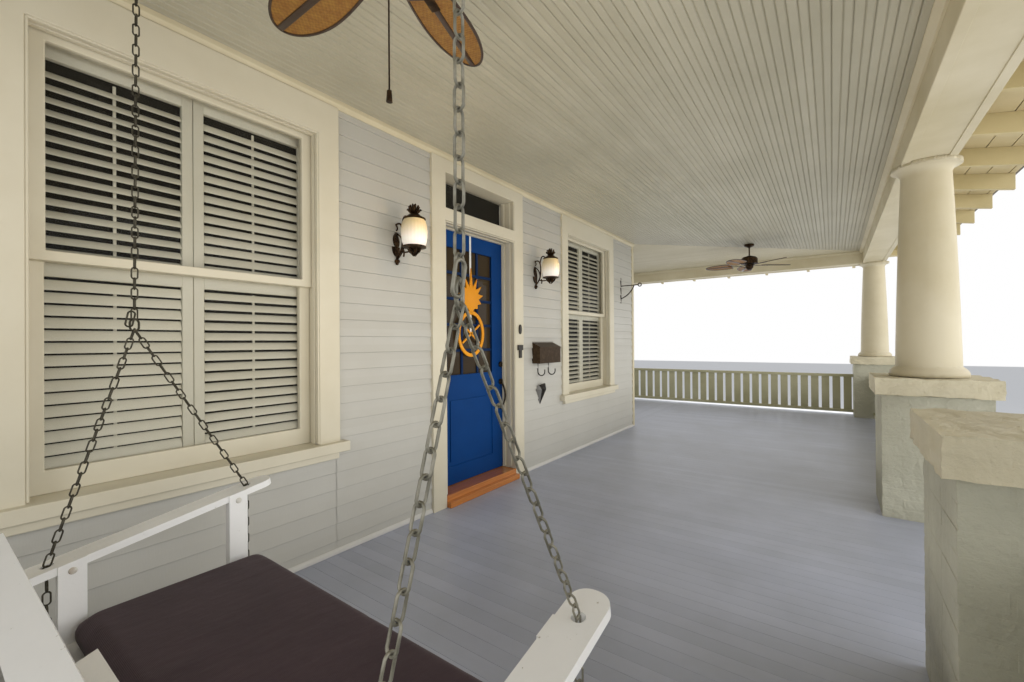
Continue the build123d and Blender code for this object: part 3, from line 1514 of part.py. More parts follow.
with BuildPart() as swing_bench:
    with BuildSketch(Plane.XY.offset(board_foot_z)):
        with Locations(((swing_seat_front + seat_rear_x) / 2, bench_middle_y)):
            Rectangle(swing_seat_depth, bench_length - 2 * chain_hole_radius)
    extrude(amount=swing_board)
    with BuildSketch(Plane.XY.offset(rail_foot_z)):
        for rail_x in (swing_front_hole_x, swing_rear_hole_x):
            with Locations((rail_x, bench_middle_y)):
                Rectangle(swing_rail, bench_length + swing_rail)
        with Locations(((swing_front_hole_x + swing_rear_hole_x) / 2, bench_middle_y)):
            with GridLocations(1, (bench_length - 2 * post_y_inset) / 2, 1, 3):
                Rectangle(swing_front_hole_x - swing_rear_hole_x, swing_rail)
    extrude(amount=swing_rail_depth)
    for side in (-1, 1):
        post_y = bench_middle_y + side * (bench_length / 2 - post_y_inset)
        with BuildSketch(Plane.XZ.offset(-post_y - swing_post_thickness / 2)):
            for post_x in (swing_front_hole_x - swing_post_inset, swing_rear_hole_x + swing_post_inset):
                with BuildLine():
                    left_x = post_x - swing_post_width / 2
                    right_x = post_x + swing_post_width / 2
                    Polyline(
                        (left_x, seat_z),
                        (left_x, front_hole_z + (left_x - swing_front_hole_x) * arm_slope),
                        (right_x, front_hole_z + (right_x - swing_front_hole_x) * arm_slope),
                        (right_x, seat_z),
                        close=True,
                    )
                make_face()
        extrude(amount=swing_post_thickness)
        arm_plane = Plane(
            origin=(swing_front_hole_x, bench_middle_y + side * bench_length / 2, front_hole_z),
            x_dir=(-cos(arm_angle), 0, -sin(arm_angle)),
            z_dir=(-sin(arm_angle), 0, cos(arm_angle)),
        )
        hole_spacing = (swing_front_hole_x - swing_rear_hole_x) / cos(arm_angle)
        arm_length = swing_arm_nose + hole_spacing + swing_arm_tail
        with BuildSketch(arm_plane.offset(-swing_arm_thickness)) as arm_outline:
            with Locations((arm_length / 2 - swing_arm_nose, 0)):
                Rectangle(arm_length, swing_arm_width)
            fillet(arm_outline.vertices().group_by(Axis.X)[0], swing_arm_width / 2.2)
            with Locations((0, 0), (hole_spacing, 0)):
                Circle(chain_hole_radius, mode=Mode.SUBTRACT)
        extrude(amount=swing_arm_thickness)
    with BuildSketch(back_plane):
        with Locations((0, swing_back_height / 2)):
            with GridLocations(slat_gap, 1, slat_count, 1):
                Rectangle(swing_slat_width, swing_back_height)
    extrude(amount=-swing_board)
    with BuildSketch(back_plane.offset(-swing_board)):
        for rail_rise in (swing_back_rail, swing_back_height - swing_back_rail):
            with Locations((0, rail_rise)):
                Rectangle(back_length, swing_back_rail)
    extrude(amount=-swing_batten)
    with BuildSketch(back_plane.offset(-swing_board - swing_batten)):
        with Locations((0, swing_back_height / 2)):
            with GridLocations(back_length - swing_stile_width, 1, 2, 1):
                Rectangle(swing_stile_width, swing_back_height)
    extrude(amount=-swing_board)
    with BuildSketch(back_plane):
        with Locations((0, swing_back_height + swing_cap / 2)):
            Rectangle(back_length, swing_cap)
    extrude(amount=-2 * swing_board - swing_batten)
    console_foot = (cushion_thickness + cushion_gap) / cos(back_lean)
    with BuildSketch(back_plane) as console_outline:
        with Locations((0, (console_foot + swing_console_top) / 2)):
            Rectangle(swing_console_width, swing_console_top - console_foot)
        fillet(console_outline.vertices().group_by(Axis.Y)[-1], swing_console_corner)
    extrude(amount=swing_console_thickness)
    with BuildSketch(Plane.XY.offset(rail_foot_z)):
        for rail_x in (swing_front_hole_x, swing_rear_hole_x):
            with Locations((rail_x, swing_street_y), (rail_x, swing_house_y)):
                Circle(eye_bolt_radius + eye_bolt_clearance)
    extrude(amount=swing_rail_depth, mode=Mode.SUBTRACT)
swing_bench.part.label = "swing_bench"
export_step(swing_bench.part, "parts/swing_bench.step")


# Swing chains: an eye on each hook pin, one strand that splits in two, bolts through the seat rails
def rod(start, end, radius):
    """A round rod between two points."""
    span = Vector(*end) - Vector(*start)
    with BuildPart() as bar:
        with BuildSketch(Plane(origin=start, z_dir=span)):
            Circle(radius)
        extrude(amount=span.length)
    return bar.part


split_z = floor_top + swing_ring_height
eye_outer_radius = hook_pin_radius + eye_bolt_clearance + chain_radius
with BuildPart() as swing_chains:
    for chain_x, chain_y in swing_points:
        with BuildSketch(Plane.XZ.offset(-chain_y - chain_radius)):
            with Locations((chain_x, pin_z)):
                Circle(eye_outer_radius)
        extrude(amount=2 * chain_radius)
        add(rod((chain_x, chain_y, pin_z - hook_pin_radius), (chain_x, chain_y, split_z), chain_radius))
        with Locations((chain_x, chain_y, split_z)):
            Sphere(split_ring_radius)
        for hole_x, hole_z in ((swing_front_hole_x, front_hole_z), (swing_rear_hole_x, rear_hole_z)):
            add(rod((chain_x, chain_y, split_z), (hole_x, chain_y, hole_z), chain_radius))
            with Locations((hole_x, chain_y, hole_z)):
                Sphere(chain_radius)
            add(rod((hole_x, chain_y, hole_z), (hole_x, chain_y, board_foot_z), chain_radius))
            add(rod((hole_x, chain_y, board_foot_z), (hole_x, chain_y, rail_foot_z), eye_bolt_radius))
            with BuildSketch(Plane.XY.offset(rail_foot_z)):
                with Locations((hole_x, chain_y)):
                    RegularPolygon(bolt_nut_radius, 6)
            extrude(amount=-eye_bolt_radius)
        with BuildSketch(Plane.XZ.offset(-chain_y - chain_radius)):
            with Locations((chain_x, pin_z)):
                Circle(hook_pin_radius + eye_bolt_clearance)
        extrude(amount=2 * chain_radius, mode=Mode.SUBTRACT)
swing_chains.part.label = "swing_chains"
export_step(swing_chains.part, "parts/swing_chains.step")

# Seat cushion: one long boxed pad between the arm posts
cushion_depth = swing_seat_depth - swing_back_inset - cushion_gap
cushion_length = bench_length - 2 * post_y_inset - swing_post_thickness - 2 * cushion_inset
with BuildPart() as swing_cushion:
    with BuildSketch(Plane.XY.offset(seat_z)):
        with Locations((swing_seat_front - cushion_depth / 2, bench_middle_y)):
            RectangleRounded(cushion_depth, cushion_length, cushion_corner)
    extrude(amount=cushion_thickness)
    fillet(swing_cushion.faces().sort_by(Axis.Z)[-1].edges(), cushion_edge)
swing_cushion.part.label = "swing_cushion"
export_step(swing_cushion.part, "parts/swing_cushion.step")
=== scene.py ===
import math
import random

import bpy
from mathutils import Matrix, Vector


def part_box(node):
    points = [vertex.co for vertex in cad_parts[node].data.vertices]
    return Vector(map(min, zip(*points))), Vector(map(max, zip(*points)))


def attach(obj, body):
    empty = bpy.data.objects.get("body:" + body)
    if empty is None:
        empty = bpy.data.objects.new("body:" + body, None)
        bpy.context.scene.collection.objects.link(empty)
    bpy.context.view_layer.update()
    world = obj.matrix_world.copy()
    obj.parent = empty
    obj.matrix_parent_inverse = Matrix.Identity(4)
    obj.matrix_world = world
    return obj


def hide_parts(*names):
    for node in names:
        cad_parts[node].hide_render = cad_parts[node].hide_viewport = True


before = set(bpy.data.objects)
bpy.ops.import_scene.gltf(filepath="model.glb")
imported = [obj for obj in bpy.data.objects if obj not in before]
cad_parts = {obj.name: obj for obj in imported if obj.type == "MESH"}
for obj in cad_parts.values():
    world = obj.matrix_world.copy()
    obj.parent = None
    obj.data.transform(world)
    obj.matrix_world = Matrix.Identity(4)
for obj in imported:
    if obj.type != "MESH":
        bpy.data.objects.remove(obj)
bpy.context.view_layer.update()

# The view: somebody standing at the street end of the swing looks along the porch.
# The lens, heading and eye height were solved from the lines of the photo.
image_width, focal_pixels, sensor_width = 1024, 442.1, 36
eye = (-2.955, -2.468, 1.880)
heading, tilt, lean = 0.62711, 0.0043, -0.0074
bpy.ops.object.camera_add()
camera = bpy.context.object
camera.name = "camera"
camera.matrix_world = (
    Matrix.Translation(eye)
    @ Matrix.Rotation(heading - math.pi / 2, 4, "Z")
    @ Matrix.Rotation(math.pi / 2 + tilt, 4, "X")
    @ Matrix.Rotation(lean, 4, "Z")
)
camera.data.sensor_width = sensor_width
camera.data.lens = sensor_width * focal_pixels / image_width
camera.data.clip_start = 0.02
bpy.context.scene.camera = camera
bpy.context.scene.view_settings.view_transform = "Standard"


def linear(code):
    """Turns an sRGB hex colour into the linear colour that a socket takes."""
    channels = [int(code[i : i + 2], 16) / 255 for i in (1, 3, 5)]
    return [c / 12.92 if c <= 0.04045 else ((c + 0.055) / 1.055) ** 2.4 for c in channels] + [1.0]


def wire(tree, kind, inputs=None, **settings):
    """Adds one node. inputs are values, or other nodes' outputs, by name or by number."""
    made = tree.nodes.new(kind)
    for key, value in settings.items():
        setattr(made, key, value)
    for key, value in (inputs or {}).items():
        if isinstance(value, bpy.types.NodeSocket):
            tree.links.new(value, made.inputs[key])
        else:
            made.inputs[key].default_value = value
    return made


# Daylight: a plain white sky, soft lamps towards the street and the open end, and weak ones
# under the ceiling, since the roof keeps the sky off the wall and the boards.
sky = bpy.data.worlds.new("plain_sky")
sky.use_nodes = True
sky_tree = sky.node_tree
sky_tree.nodes.clear()
ray = wire(sky_tree, "ShaderNodeLightPath").outputs
seen = ray["Is Camera Ray"]
for kind in ("Is Glossy Ray", "Is Transmission Ray"):
    seen = wire(sky_tree, "ShaderNodeMath", {0: seen, 1: ray[kind]}, operation="MAXIMUM").outputs[0]
daylight = wire(sky_tree, "ShaderNodeBackground", {"Color": linear("#F4F6FA"), "Strength": 0.62})
white = wire(sky_tree, "ShaderNodeBackground", {"Color": (1, 1, 1, 1), "Strength": 1.0})
both = wire(sky_tree, "ShaderNodeMixShader", {0: seen, 1: daylight.outputs[0], 2: white.outputs[0]})
wire(sky_tree, "ShaderNodeOutputWorld", {"Surface": both.outputs[0]})
bpy.context.scene.world = sky


def soft_lamp(name, place, target, width, height, watts, colour="#FFFFFF"):
    """A large rectangular studio lamp that the camera doesn't see."""
    bpy.ops.object.light_add(type="AREA", location=place)
    lamp = bpy.context.object
    lamp.name = name
    lamp.rotation_euler = (Vector(target) - Vector(place)).to_track_quat("-Z", "Y").to_euler()
    lamp.data.shape = "RECTANGLE"
    lamp.data.size = width
    lamp.data.size_y = height
    lamp.data.energy = watts
    lamp.data.color = linear(colour)[:3]
    lamp.visible_camera = False
    lamp.visible_glossy = False


soft_lamp("street_lamp", (2.5, -8.5, 3.4), (2.0, -1.0, 1.4), 12, 4, 420)
soft_lamp("end_lamp", (11.5, -1.0, 3.0), (4.0, -1.2, 1.4), 6, 4, 260)
soft_lamp("near_lamp", (-7.0, -3.6, 2.2), (-1.0, -2.6, 1.2), 4, 3, 110)
soft_lamp("near_bounce", (-1.9, -1.5, 1.75), (-1.6, -1.0, 3.3), 1.5, 1.5, 11, "#FFF1DC")
soft_lamp("floor_bounce", (1.5, -1.6, 0.75), (1.5, -1.5, 3.4), 9, 1.6, 50, "#F6F3EC")
soft_lamp("back_lamp", (1.0, 8.0, 4.0), (1.0, 0.0, 1.8), 9, 4, 250)
soft_lamp("entry_lamp", (-0.5, -4.3, 1.0), (1.4, -2.9, 0.8), 1.2, 1.2, 14)

# Pale studio floor under the whole porch.
bpy.ops.mesh.primitive_plane_add(size=80, location=(1.5, 0, -0.002))
ground = bpy.context.object
ground.name = "studio_floor"
ground_finish = bpy.data.materials.new("pale_floor")
ground_finish.use_nodes = True
ground_skin = ground_finish.node_tree.nodes["Principled BSDF"]
ground_skin.inputs["Base Color"].default_value = linear("#E9EAEB")
ground_skin.inputs["Roughness"].default_value = 0.9
ground.data.materials.append(ground_finish)


# Foundation, skirt and piers: old brickwork under many coats of thick masonry paint, which
# rounds the bricks' edges and fills most joints, and has chipped away along the corners.
def select_only(*pieces):
    """Selects just these pieces and makes the first one active."""
    bpy.ops.object.select_all(action="DESELECT")
    for piece in pieces:
        piece.select_set(True)
    bpy.context.view_layer.objects.active = pieces[0]


def modify(piece, kind, **settings):
    """Adds one modifier with its settings and applies it."""
    select_only(piece)
    modifier = piece.modifiers.new(kind.lower(), kind)
    for key, value in settings.items():
        setattr(modifier, key, value)
    bpy.ops.object.modifier_apply(modifier=modifier.name)
    return piece


def reworked(piece, operator, **settings):
    """Runs one mesh operator on the whole of a piece."""
    select_only(piece)
    bpy.ops.object.mode_set(mode="EDIT")
    bpy.ops.mesh.select_all(action="SELECT")
    operator(**settings)
    bpy.ops.object.mode_set(mode="OBJECT")
    return piece


def smoothed(piece, angle):
    """Shades a piece smooth, but for edges sharper than the angle in degrees."""
    select_only(piece)
    bpy.ops.object.shade_smooth_by_angle(angle=math.radians(angle))
    return piece


def bevelled(piece, width, rounds, angle=30.0, **settings):
    """Eases the edges that are sharper than the angle in degrees."""
    limit = {"limit_method": "ANGLE", "angle_limit": math.radians(angle)}
    return modify(piece, "BEVEL", width=width, segments=rounds, **limit, **settings)


def made(name, operator, **settings):
    """A new piece of one of the plain shapes, with its place and size in its mesh."""
    bpy.ops.object.select_all(action="DESELECT")
    operator(**settings)
    piece = bpy.context.object
    piece.name = name
    bpy.ops.object.transform_apply(location=True, rotation=True, scale=True)
    return piece


def block(name, low, high, eased=0.0, rounds=1):
    """A squared piece between two corners, with its edges eased."""
    middle, size = [(a + b) / 2 for a, b in zip(low, high)], [b - a for a, b in zip(low, high)]
    piece = made(name, bpy.ops.mesh.primitive_cube_add, size=1, location=middle, scale=size)
    return bevelled(piece, eased, rounds) if eased else piece


def row(piece, count, step):
    """Repeats a piece at an even step."""
    steps = {"use_relative_offset": False, "use_constant_offset": True, "constant_offset_displace": step}
    return modify(piece, "ARRAY", count=count, **steps)


def joined(name, pieces):
    """Makes one piece out of several."""
    select_only(*pieces)
    if len(pieces) > 1:
        bpy.ops.object.join()
    whole = bpy.context.object
    whole.name = name
    return whole


def moved(piece, x=0.0, y=0.0, z=0.0, turn=0.0, axis="Z"):
    """Turns a piece about an axis through the origin and then moves it, both in its mesh."""
    piece.data.transform(Matrix.Translation((x, y, z)) @ Matrix.Rotation(turn, 4, axis))
    return piece


def copied(piece, name, move=(0, 0, 0)):
    """A copy with its own mesh, moved in its mesh."""
    twin = piece.copy()
    twin.data = piece.data.copy()
    twin.name = name
    bpy.context.scene.collection.objects.link(twin)
    return moved(twin, *move)


def fitted(piece, body, finish, slot, *nodes):
    """Gives a piece its finish and the body it rides on, and says which CAD nodes it stands for."""
    piece.data.materials.clear()
    piece.data.materials.append(finish)
    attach(piece, body)
    if nodes:
        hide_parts(*nodes)
    return piece


def refinished(finish, *nodes):
    """Gives CAD nodes that show as they are a finish of their own."""
    for node in nodes:
        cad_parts[node].data.materials.clear()
        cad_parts[node].data.materials.append(finish)


def blank(name):
    """A new material, with its node tree and its Object coordinates."""
    material = bpy.data.materials.new(name)
    material.use_nodes = True
    tree = material.node_tree
    return material, tree, wire(tree, "ShaderNodeTexCoord").outputs["Object"]


def noise(tree, place, scale, detail, roughness=0.5, stretch=None):
    """Cloudy noise, scale blots a metre. stretch scales it by axis before that."""
    if stretch:
        place = wire(tree, "ShaderNodeMapping", {"Vector": place, "Scale": stretch}).outputs[0]
    inputs = {"Vector": place, "Scale": scale, "Detail": detail, "Roughness": roughness}
    return wire(tree, "ShaderNodeTexNoise", inputs).outputs[0]


def spread(tree, value, start, end, low=0.0, high=1.0, **settings):
    """Stretches what lies between start and end over low to high."""
    inputs = {"Value": value, "From Min": start, "From Max": end, "To Min": low, "To Max": high}
    return wire(tree, "ShaderNodeMapRange", inputs, **settings).outputs[0]


def calc(tree, operation, *numbers):
    """One step of arithmetic on numbers or other nodes' outputs."""
    return wire(tree, "ShaderNodeMath", dict(enumerate(numbers)), operation=operation).outputs[0]


def mixed(tree, share, *colours):
    """Two colours mixed by share. Each is a hex colour or another node's output."""
    first, second = [linear(colour) if isinstance(colour, str) else colour for colour in colours]
    return wire(tree, "ShaderNodeMix", {0: share, 6: first, 7: second}, data_type="RGBA").outputs[2]


def dressed(material, **settings):
    """Gives a material's surface its settings, which are values or other nodes' outputs."""
    skin = material.node_tree.nodes["Principled BSDF"]
    for key, value in settings.items():
        socket = skin.inputs[key.replace("_", " ")]
        if isinstance(value, bpy.types.NodeSocket):
            material.node_tree.links.new(value, socket)
        else:
            socket.default_value = value
    return material


def coated(material, colour, height, strength, depth, **settings):
    """Gives a material its colour, a relief of that strength and depth, and other settings."""
    inputs = {"Strength": strength, "Distance": depth, "Height": height}
    relief = wire(material.node_tree, "ShaderNodeBump", inputs).outputs[0]
    return dressed(material, Base_Color=colour, Normal=relief, **settings)


def masonry_paint(name, coat, grime, brick=None):
    """Thick masonry paint. It gives lumps and runs, grime in the hollows, and a soft sheen."""
    material, tree, place = blank(name)
    height = noise(tree, place, 1000 / 38, 6.0, 0.62)
    grimy = spread(tree, noise(tree, place, 1000 / 420, 4.0), 0.35, 0.72, 0.0, 0.75)
    colour = mixed(tree, grimy, coat, grime)
    if brick:
        split = wire(tree, "ShaderNodeSeparateXYZ", {0: place}).outputs
        along = calc(tree, "ADD", split[0], split[1])
        inputs = {
            "Vector": wire(tree, "ShaderNodeCombineXYZ", {0: along, 1: split[2]}).outputs[0],
            "Color1": (1, 1, 1, 1), "Color2": (0.85, 0.85, 0.85, 1), "Mortar": (0, 0, 0, 1),
            "Scale": 1.0, "Mortar Size": 0.006, "Mortar Smooth": 0.6,
            "Brick Width": brick[0], "Row Height": brick[1],
        }
        bond = wire(tree, "ShaderNodeTexBrick", inputs).outputs["Fac"]
        height = calc(tree, "ADD", height, calc(tree, "MULTIPLY", bond, -1.6))
        colour = mixed(tree, calc(tree, "MULTIPLY", bond, 0.45), colour, grime)
    return coated(material, colour, height, 1.0, 0.011, Roughness=0.55)


brick_length, brick_height, brick_depth, joint = 0.221, 0.064, 0.105, 0.010
brick_step = (brick_length + joint, brick_height + joint)
painted_wall_brick = masonry_paint("painted_brick_wall", "#B9B5A4", "#918E82", brick_step)
refinished(painted_wall_brick, "house_foundation", "porch_skirt")

# One pier is laid up brick by brick round a core of mortar, then set down five times. Every
# other course starts at the other corner, and each brick stands a little in or out.
pier_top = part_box("brick_piers")[1].z
pier_half, course_count = 0.289, 20
pier_points = [(-3.584, -3.041), (-0.895, -3.041), (1.521, -3.041), (6.626, -3.041), (6.626, 2.064)]
course = pier_top / course_count
cut_brick, corner_brick, unevenness, recess = 0.117, 0.116, 0.0010, 0.0012
random.seed(7)
bricks = []
for level in range(2):
    foot = (level + 1) * course - brick_height
    for side in range(4):
        if (side + level) % 2:
            lengths, start = [brick_length, brick_length, corner_brick], -pier_half
        else:
            lengths, start = [brick_length, cut_brick], -pier_half + brick_depth + joint
        if level:
            lengths = lengths[::-1]
        for length in lengths:
            low = (start, -pier_half - random.uniform(-unevenness, unevenness), foot)
            high = (start + length, -pier_half + brick_depth, foot + brick_height)
            bricks.append(moved(block("brick", low, high, 0.0028, 2), turn=side * math.pi / 2))
            start += length + joint
laid = row(joined("pier_bricks", bricks), course_count // 2, (0, 0, 2 * course))
reworked(laid, bpy.ops.transform.vertex_random, offset=0.0007, seed=3)
core_half = pier_half - recess
core = block("core", (-core_half, -core_half, 0), (core_half, core_half, pier_top), 0.004, 2)
one_pier = joined("one_pier", [laid, core])
piers = [copied(one_pier, "pier", (x, y, 0)) for x, y in pier_points]
bpy.data.objects.remove(one_pier)
pier_bricks = smoothed(joined("pier_bricks", piers), 40)
modify(pier_bricks, "WEIGHTED_NORMAL", keep_sharp=True, weight=90)
painted_brick = masonry_paint("painted_brickwork", "#B9B7A4", "#95927F")
fitted(pier_bricks, "porch", painted_brick, "brick", "brick_piers")

# Caps: cast slabs bedded in mortar on the piers, which they overhang. Their edges are rough and
# chipped under the same paint.
chips = bpy.data.textures.new("chips", "CLOUDS")
chips.noise_scale = 0.06
chips.noise_depth = 3
cap_low, cap_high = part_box("pier_caps")
cap_half = pier_half + 0.039
slabs = [
    block("slab", (x - cap_half, y - cap_half, cap_low.z), (x + cap_half, y + cap_half, cap_high.z))
    for x, y in pier_points
]
caps = reworked(joined("pier_cap_slabs", slabs), bpy.ops.mesh.subdivide, number_cuts=17)
modify(caps, "DISPLACE", texture=chips, texture_coords="LOCAL", strength=0.024, mid_level=0.68)
painted_cap = masonry_paint("painted_cast_cap", "#D2C9AD", "#B3AA90")
fitted(smoothed(caps, 35), "porch", painted_cap, "cap_stone", "pier_caps")


# Columns: hollow columns of pine staves, glued, turned in a lathe and painted, each set on a pier
# cap and nailed under the beam.
def oil_paint(name, coat, tired, along=None, roughness=0.42, marks=0.25, wear=None):
    """Old oil paint on timber. Brush marks run with the board, and age darkens it in patches."""
    material, tree, place = blank(name)
    stroke = 1000 / 5
    scale = [stroke / 2] * 3
    if along is not None:
        scale = [stroke] * 3
        scale[along] = stroke / 30
    height = noise(tree, place, 1.0, 3.0, stretch=scale)
    aged = spread(tree, noise(tree, place, 1000 / 700, 6.0, 0.6), 0.38, 0.70, 0.0, 0.8)
    colour = mixed(tree, aged, coat, tired)
    if wear:
        bare = spread(tree, noise(tree, place, 1000 / 26, 8.0, 0.7), 0.665, 0.69)
        colour = mixed(tree, bare, colour, wear)
        height = calc(tree, "ADD", height, calc(tree, "MULTIPLY", bare, -1.5))
    return coated(material, colour, height, marks, 0.0008, Roughness=roughness)


def softened(node, eased=0.0, rounds=2, angle=30.0):
    """A merged copy of a CAD node with its sharp edges eased, to stand for that node."""
    piece = copied(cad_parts[node], node + "_made")
    for key in list(piece.keys()):
        del piece[key]
    piece.parent = None
    piece.data.materials.clear()
    select_only(piece)
    bpy.ops.object.mode_set(mode="EDIT")
    bpy.ops.mesh.select_all(action="SELECT")
    bpy.ops.mesh.remove_doubles(threshold=0.00002)
    if eased:
        bpy.ops.mesh.dissolve_limited(angle_limit=math.radians(0.5))
    bpy.ops.object.mode_set(mode="OBJECT")
    if eased:
        bevelled(piece, eased, rounds, angle, use_clamp_overlap=True, loop_slide=True)
    smoothed(piece, angle)
    if eased:
        modify(piece, "WEIGHTED_NORMAL", keep_sharp=True, weight=90)
    return piece


def refitted(node, body, finish, slot, eased=0.0, rounds=2, angle=30.0):
    """A softened copy of a CAD node with its finish, in that node's place."""
    return fitted(softened(node, eased, rounds, angle), body, finish, slot, node)


column_paint = oil_paint("column_oil_paint", "#CDC3A8", "#BDB190", 2, 0.45, 0.2)
refitted("columns", "porch", column_paint, "cream_paint", angle=34.0)

# Porch floor: narrow boards laid square to the house wall, with satin floor paint that has worn
# unevenly. Each board takes the light a little differently.
board_width, board_gap = 0.0825, 0.0004


def board_tone(tree, place, across, pitch):
    """A random number for each board, the same all along it."""
    at = wire(tree, "ShaderNodeSeparateXYZ", {0: place}).outputs[across]
    number = calc(tree, "FLOOR", calc(tree, "DIVIDE", at, pitch))
    return wire(tree, "ShaderNodeTexWhiteNoise", {"W": number}, noise_dimensions="1D").outputs["Value"]


def floor_paint(name, across):
    """Satin floor paint on narrow boards: lavender grey, duller where feet go."""
    material, tree, place = blank(name)
    scale = [180.0] * 3
    scale[1 - across] = 6.0
    grain = noise(tree, place, 1.0, 4.0, stretch=scale)
    worn = spread(tree, noise(tree, place, 1.1, 5.0, 0.6), 0.4, 0.7, 0.0, 0.7)
    tone = mixed(tree, board_tone(tree, place, across, board_width), "#A8ADBE", "#B2B7C8")
    colour = mixed(tree, worn, tone, "#9599A5")
    return coated(material, colour, grain, 0.35, 0.0008, Roughness=spread(tree, grain, 0.3, 0.7, 0.30, 0.46))


def cut(piece, point, normal):
    """Saws off what lies on the normal's side of a plane and closes the cut."""
    settings = {"plane_co": point, "plane_no": normal, "use_fill": True, "clear_outer": True}
    return reworked(piece, bpy.ops.mesh.bisect, **settings)


low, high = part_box("porch_floor_front")
boards = block("floor_boards_front", low, (low.x + board_width - board_gap, 0, high.z), 0.0009)
row(boards, math.ceil((high.x - low.x) / board_width), (board_width, 0, 0))
cut(boards, (high.x, 0, 0), (1, 0, 0))
fitted(boards, "porch", floor_paint("satin_floor_paint_front", 0), "floor_paint", "porch_floor_front")
low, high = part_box("porch_floor_side")
boards = block("floor_boards_side", low, (high.x, low.y + board_width - board_gap, high.z), 0.0009)
row(boards, math.ceil((high.y - low.y) / board_width), (0, board_width, 0))
cut(boards, (0, high.y, 0), (0, 1, 0))
fitted(boards, "porch", floor_paint("satin_floor_paint_side", 1), "floor_paint", "porch_floor_side")

# Entry steps: brick risers and treads under a smooth cement face, built up between the two middle
# piers, with worn edges.
step_cement = masonry_paint("step_cement", "#B4B2AC", "#97958F")
refitted("entry_steps", "porch", step_cement, "step_stone", 0.008)

# Roof timbers: rafters with exposed tails, the hip rafter, and boxed beams on the columns. All
# have cream oil paint; the rafters and the hip rafter have a yellower copy of the beams' paint.
beam_paint = oil_paint("beam_oil_paint", "#D6CCB0", "#C0B491", None, 0.5, 0.3)
tail_paint = oil_paint("rafter_oil_paint", "#CDBE92", "#B3A375", None, 0.5, 0.35)
for timber in ("rafters", "hip_rafter"):
    refitted(timber, "porch", tail_paint, "cream_paint", 0.002, 1)
for beam in ("beam_front", "beam_far_side", "end_beams"):
    refitted(beam, "porch", beam_paint, "cream_paint", 0.002, 1)

# Edge boards under the beams: each soffit is a panel between two slightly lower boards. They
# turn the corner with the porch, so the far ones are the front ones mirrored at the hip.
corner_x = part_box("front_wall_far")[1].x
hip_point, hip_normal = (corner_x, 0, 0), (1, 1, 0)


def turned_corner(piece, name, node):
    """A copy of something on the front leg, mirrored at the hip and cut off where the node ends."""
    twin = moved(copied(piece, name), -corner_x)
    twin.data.transform(Matrix(((0, -1, 0, 0), (-1, 0, 0, 0), (0, 0, 1, 0), (0, 0, 0, 1))))
    reworked(moved(twin, corner_x), bpy.ops.mesh.flip_normals)
    return cut(twin, (0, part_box(node)[1].y, 0), (0, 1, 0))


low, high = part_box("beam_front")
edge_drop, inner_edge, outer_edge = 0.007, 0.050, 0.049
edge_foot = low.z - edge_drop
edges = [
    block("edge", (low.x, high.y - inner_edge, edge_foot), (high.x, high.y, low.z), 0.002),
    block("edge", (low.x, low.y, edge_foot), (high.x, low.y + outer_edge, low.z), 0.002),
]
soffit_edges = cut(joined("soffit_edges_front", edges), hip_point, hip_normal)
soffit_edges_side = turned_corner(soffit_edges, "soffit_edges_side", "beam_far_side")
fitted(soffit_edges, "porch", beam_paint, "cream_paint")
fitted(soffit_edges_side, "porch", beam_paint, "cream_paint")

# Crown, wall strip and base shoe: small pine mouldings, nailed where the wall meets the ceiling and
# the floor.
trim_paint = oil_paint("trim_oil_paint", "#CFC5A8", "#BFB392", None, 0.45, 0.2)
for trim in ("ceiling_trim", "wall_strip"):
    refitted(trim, "porch", trim_paint, "cream_paint", 0.002)
shoe_paint = oil_paint("shoe_oil_paint", "#CBC9C4", "#BFBCB4", None, 0.45, 0.2)
refitted("base_shoe", "porch", shoe_paint, "siding_paint", 0.006, 3)

# Ceiling: beaded boards with grey-green satin paint, run along each leg and mitred at the hip.
# A pair of them has a narrow groove down the bead and a wider one at the joint.
bead_pitch, bead_groove, joint_groove = 0.0826, 0.0045, 0.0070


def overlaid(material, share, colour):
    """Mixes one more colour, by share, over those that a material has."""
    tree = material.node_tree
    skin = tree.nodes["Principled BSDF"].inputs["Base Color"]
    tree.links.new(mixed(tree, share, skin.links[0].from_socket, colour), skin)
    return material


def board_paint(name, across, pitch, coat, tired, roughness=0.42):
    """Paint on matched boards: every board differs a little in tone."""
    material = oil_paint(name, coat, tired, 1 - across, roughness, 0.3)
    tree = material.node_tree
    place = wire(tree, "ShaderNodeTexCoord").outputs["Object"]
    share = calc(tree, "MULTIPLY", board_tone(tree, place, across, pitch), 0.5)
    return overlaid(material, share, tired)


def grooved(name, low, high, groove):
    """A matched board whose two lower long edges are cut back to a V."""
    piece = block(name, low, high)
    select_only(piece)
    bpy.ops.object.mode_set(mode="EDIT")
    bpy.ops.mesh.select_all(action="DESELECT")
    bpy.ops.object.mode_set(mode="OBJECT")
    for edge in piece.data.edges:
        ends = [piece.data.vertices[v].co for v in edge.vertices]
        lower = all(abs(end.z - low[2]) < 1e-5 for end in ends)
        edge.select = lower and abs(ends[0].x - ends[1].x) > 0.1
    bpy.ops.object.mode_set(mode="EDIT")
    bpy.ops.mesh.select_mode(type="EDGE")
    bpy.ops.mesh.bevel(offset=groove, segments=1)
    bpy.ops.mesh.select_mode(type="VERT")
    bpy.ops.object.mode_set(mode="OBJECT")
    return piece


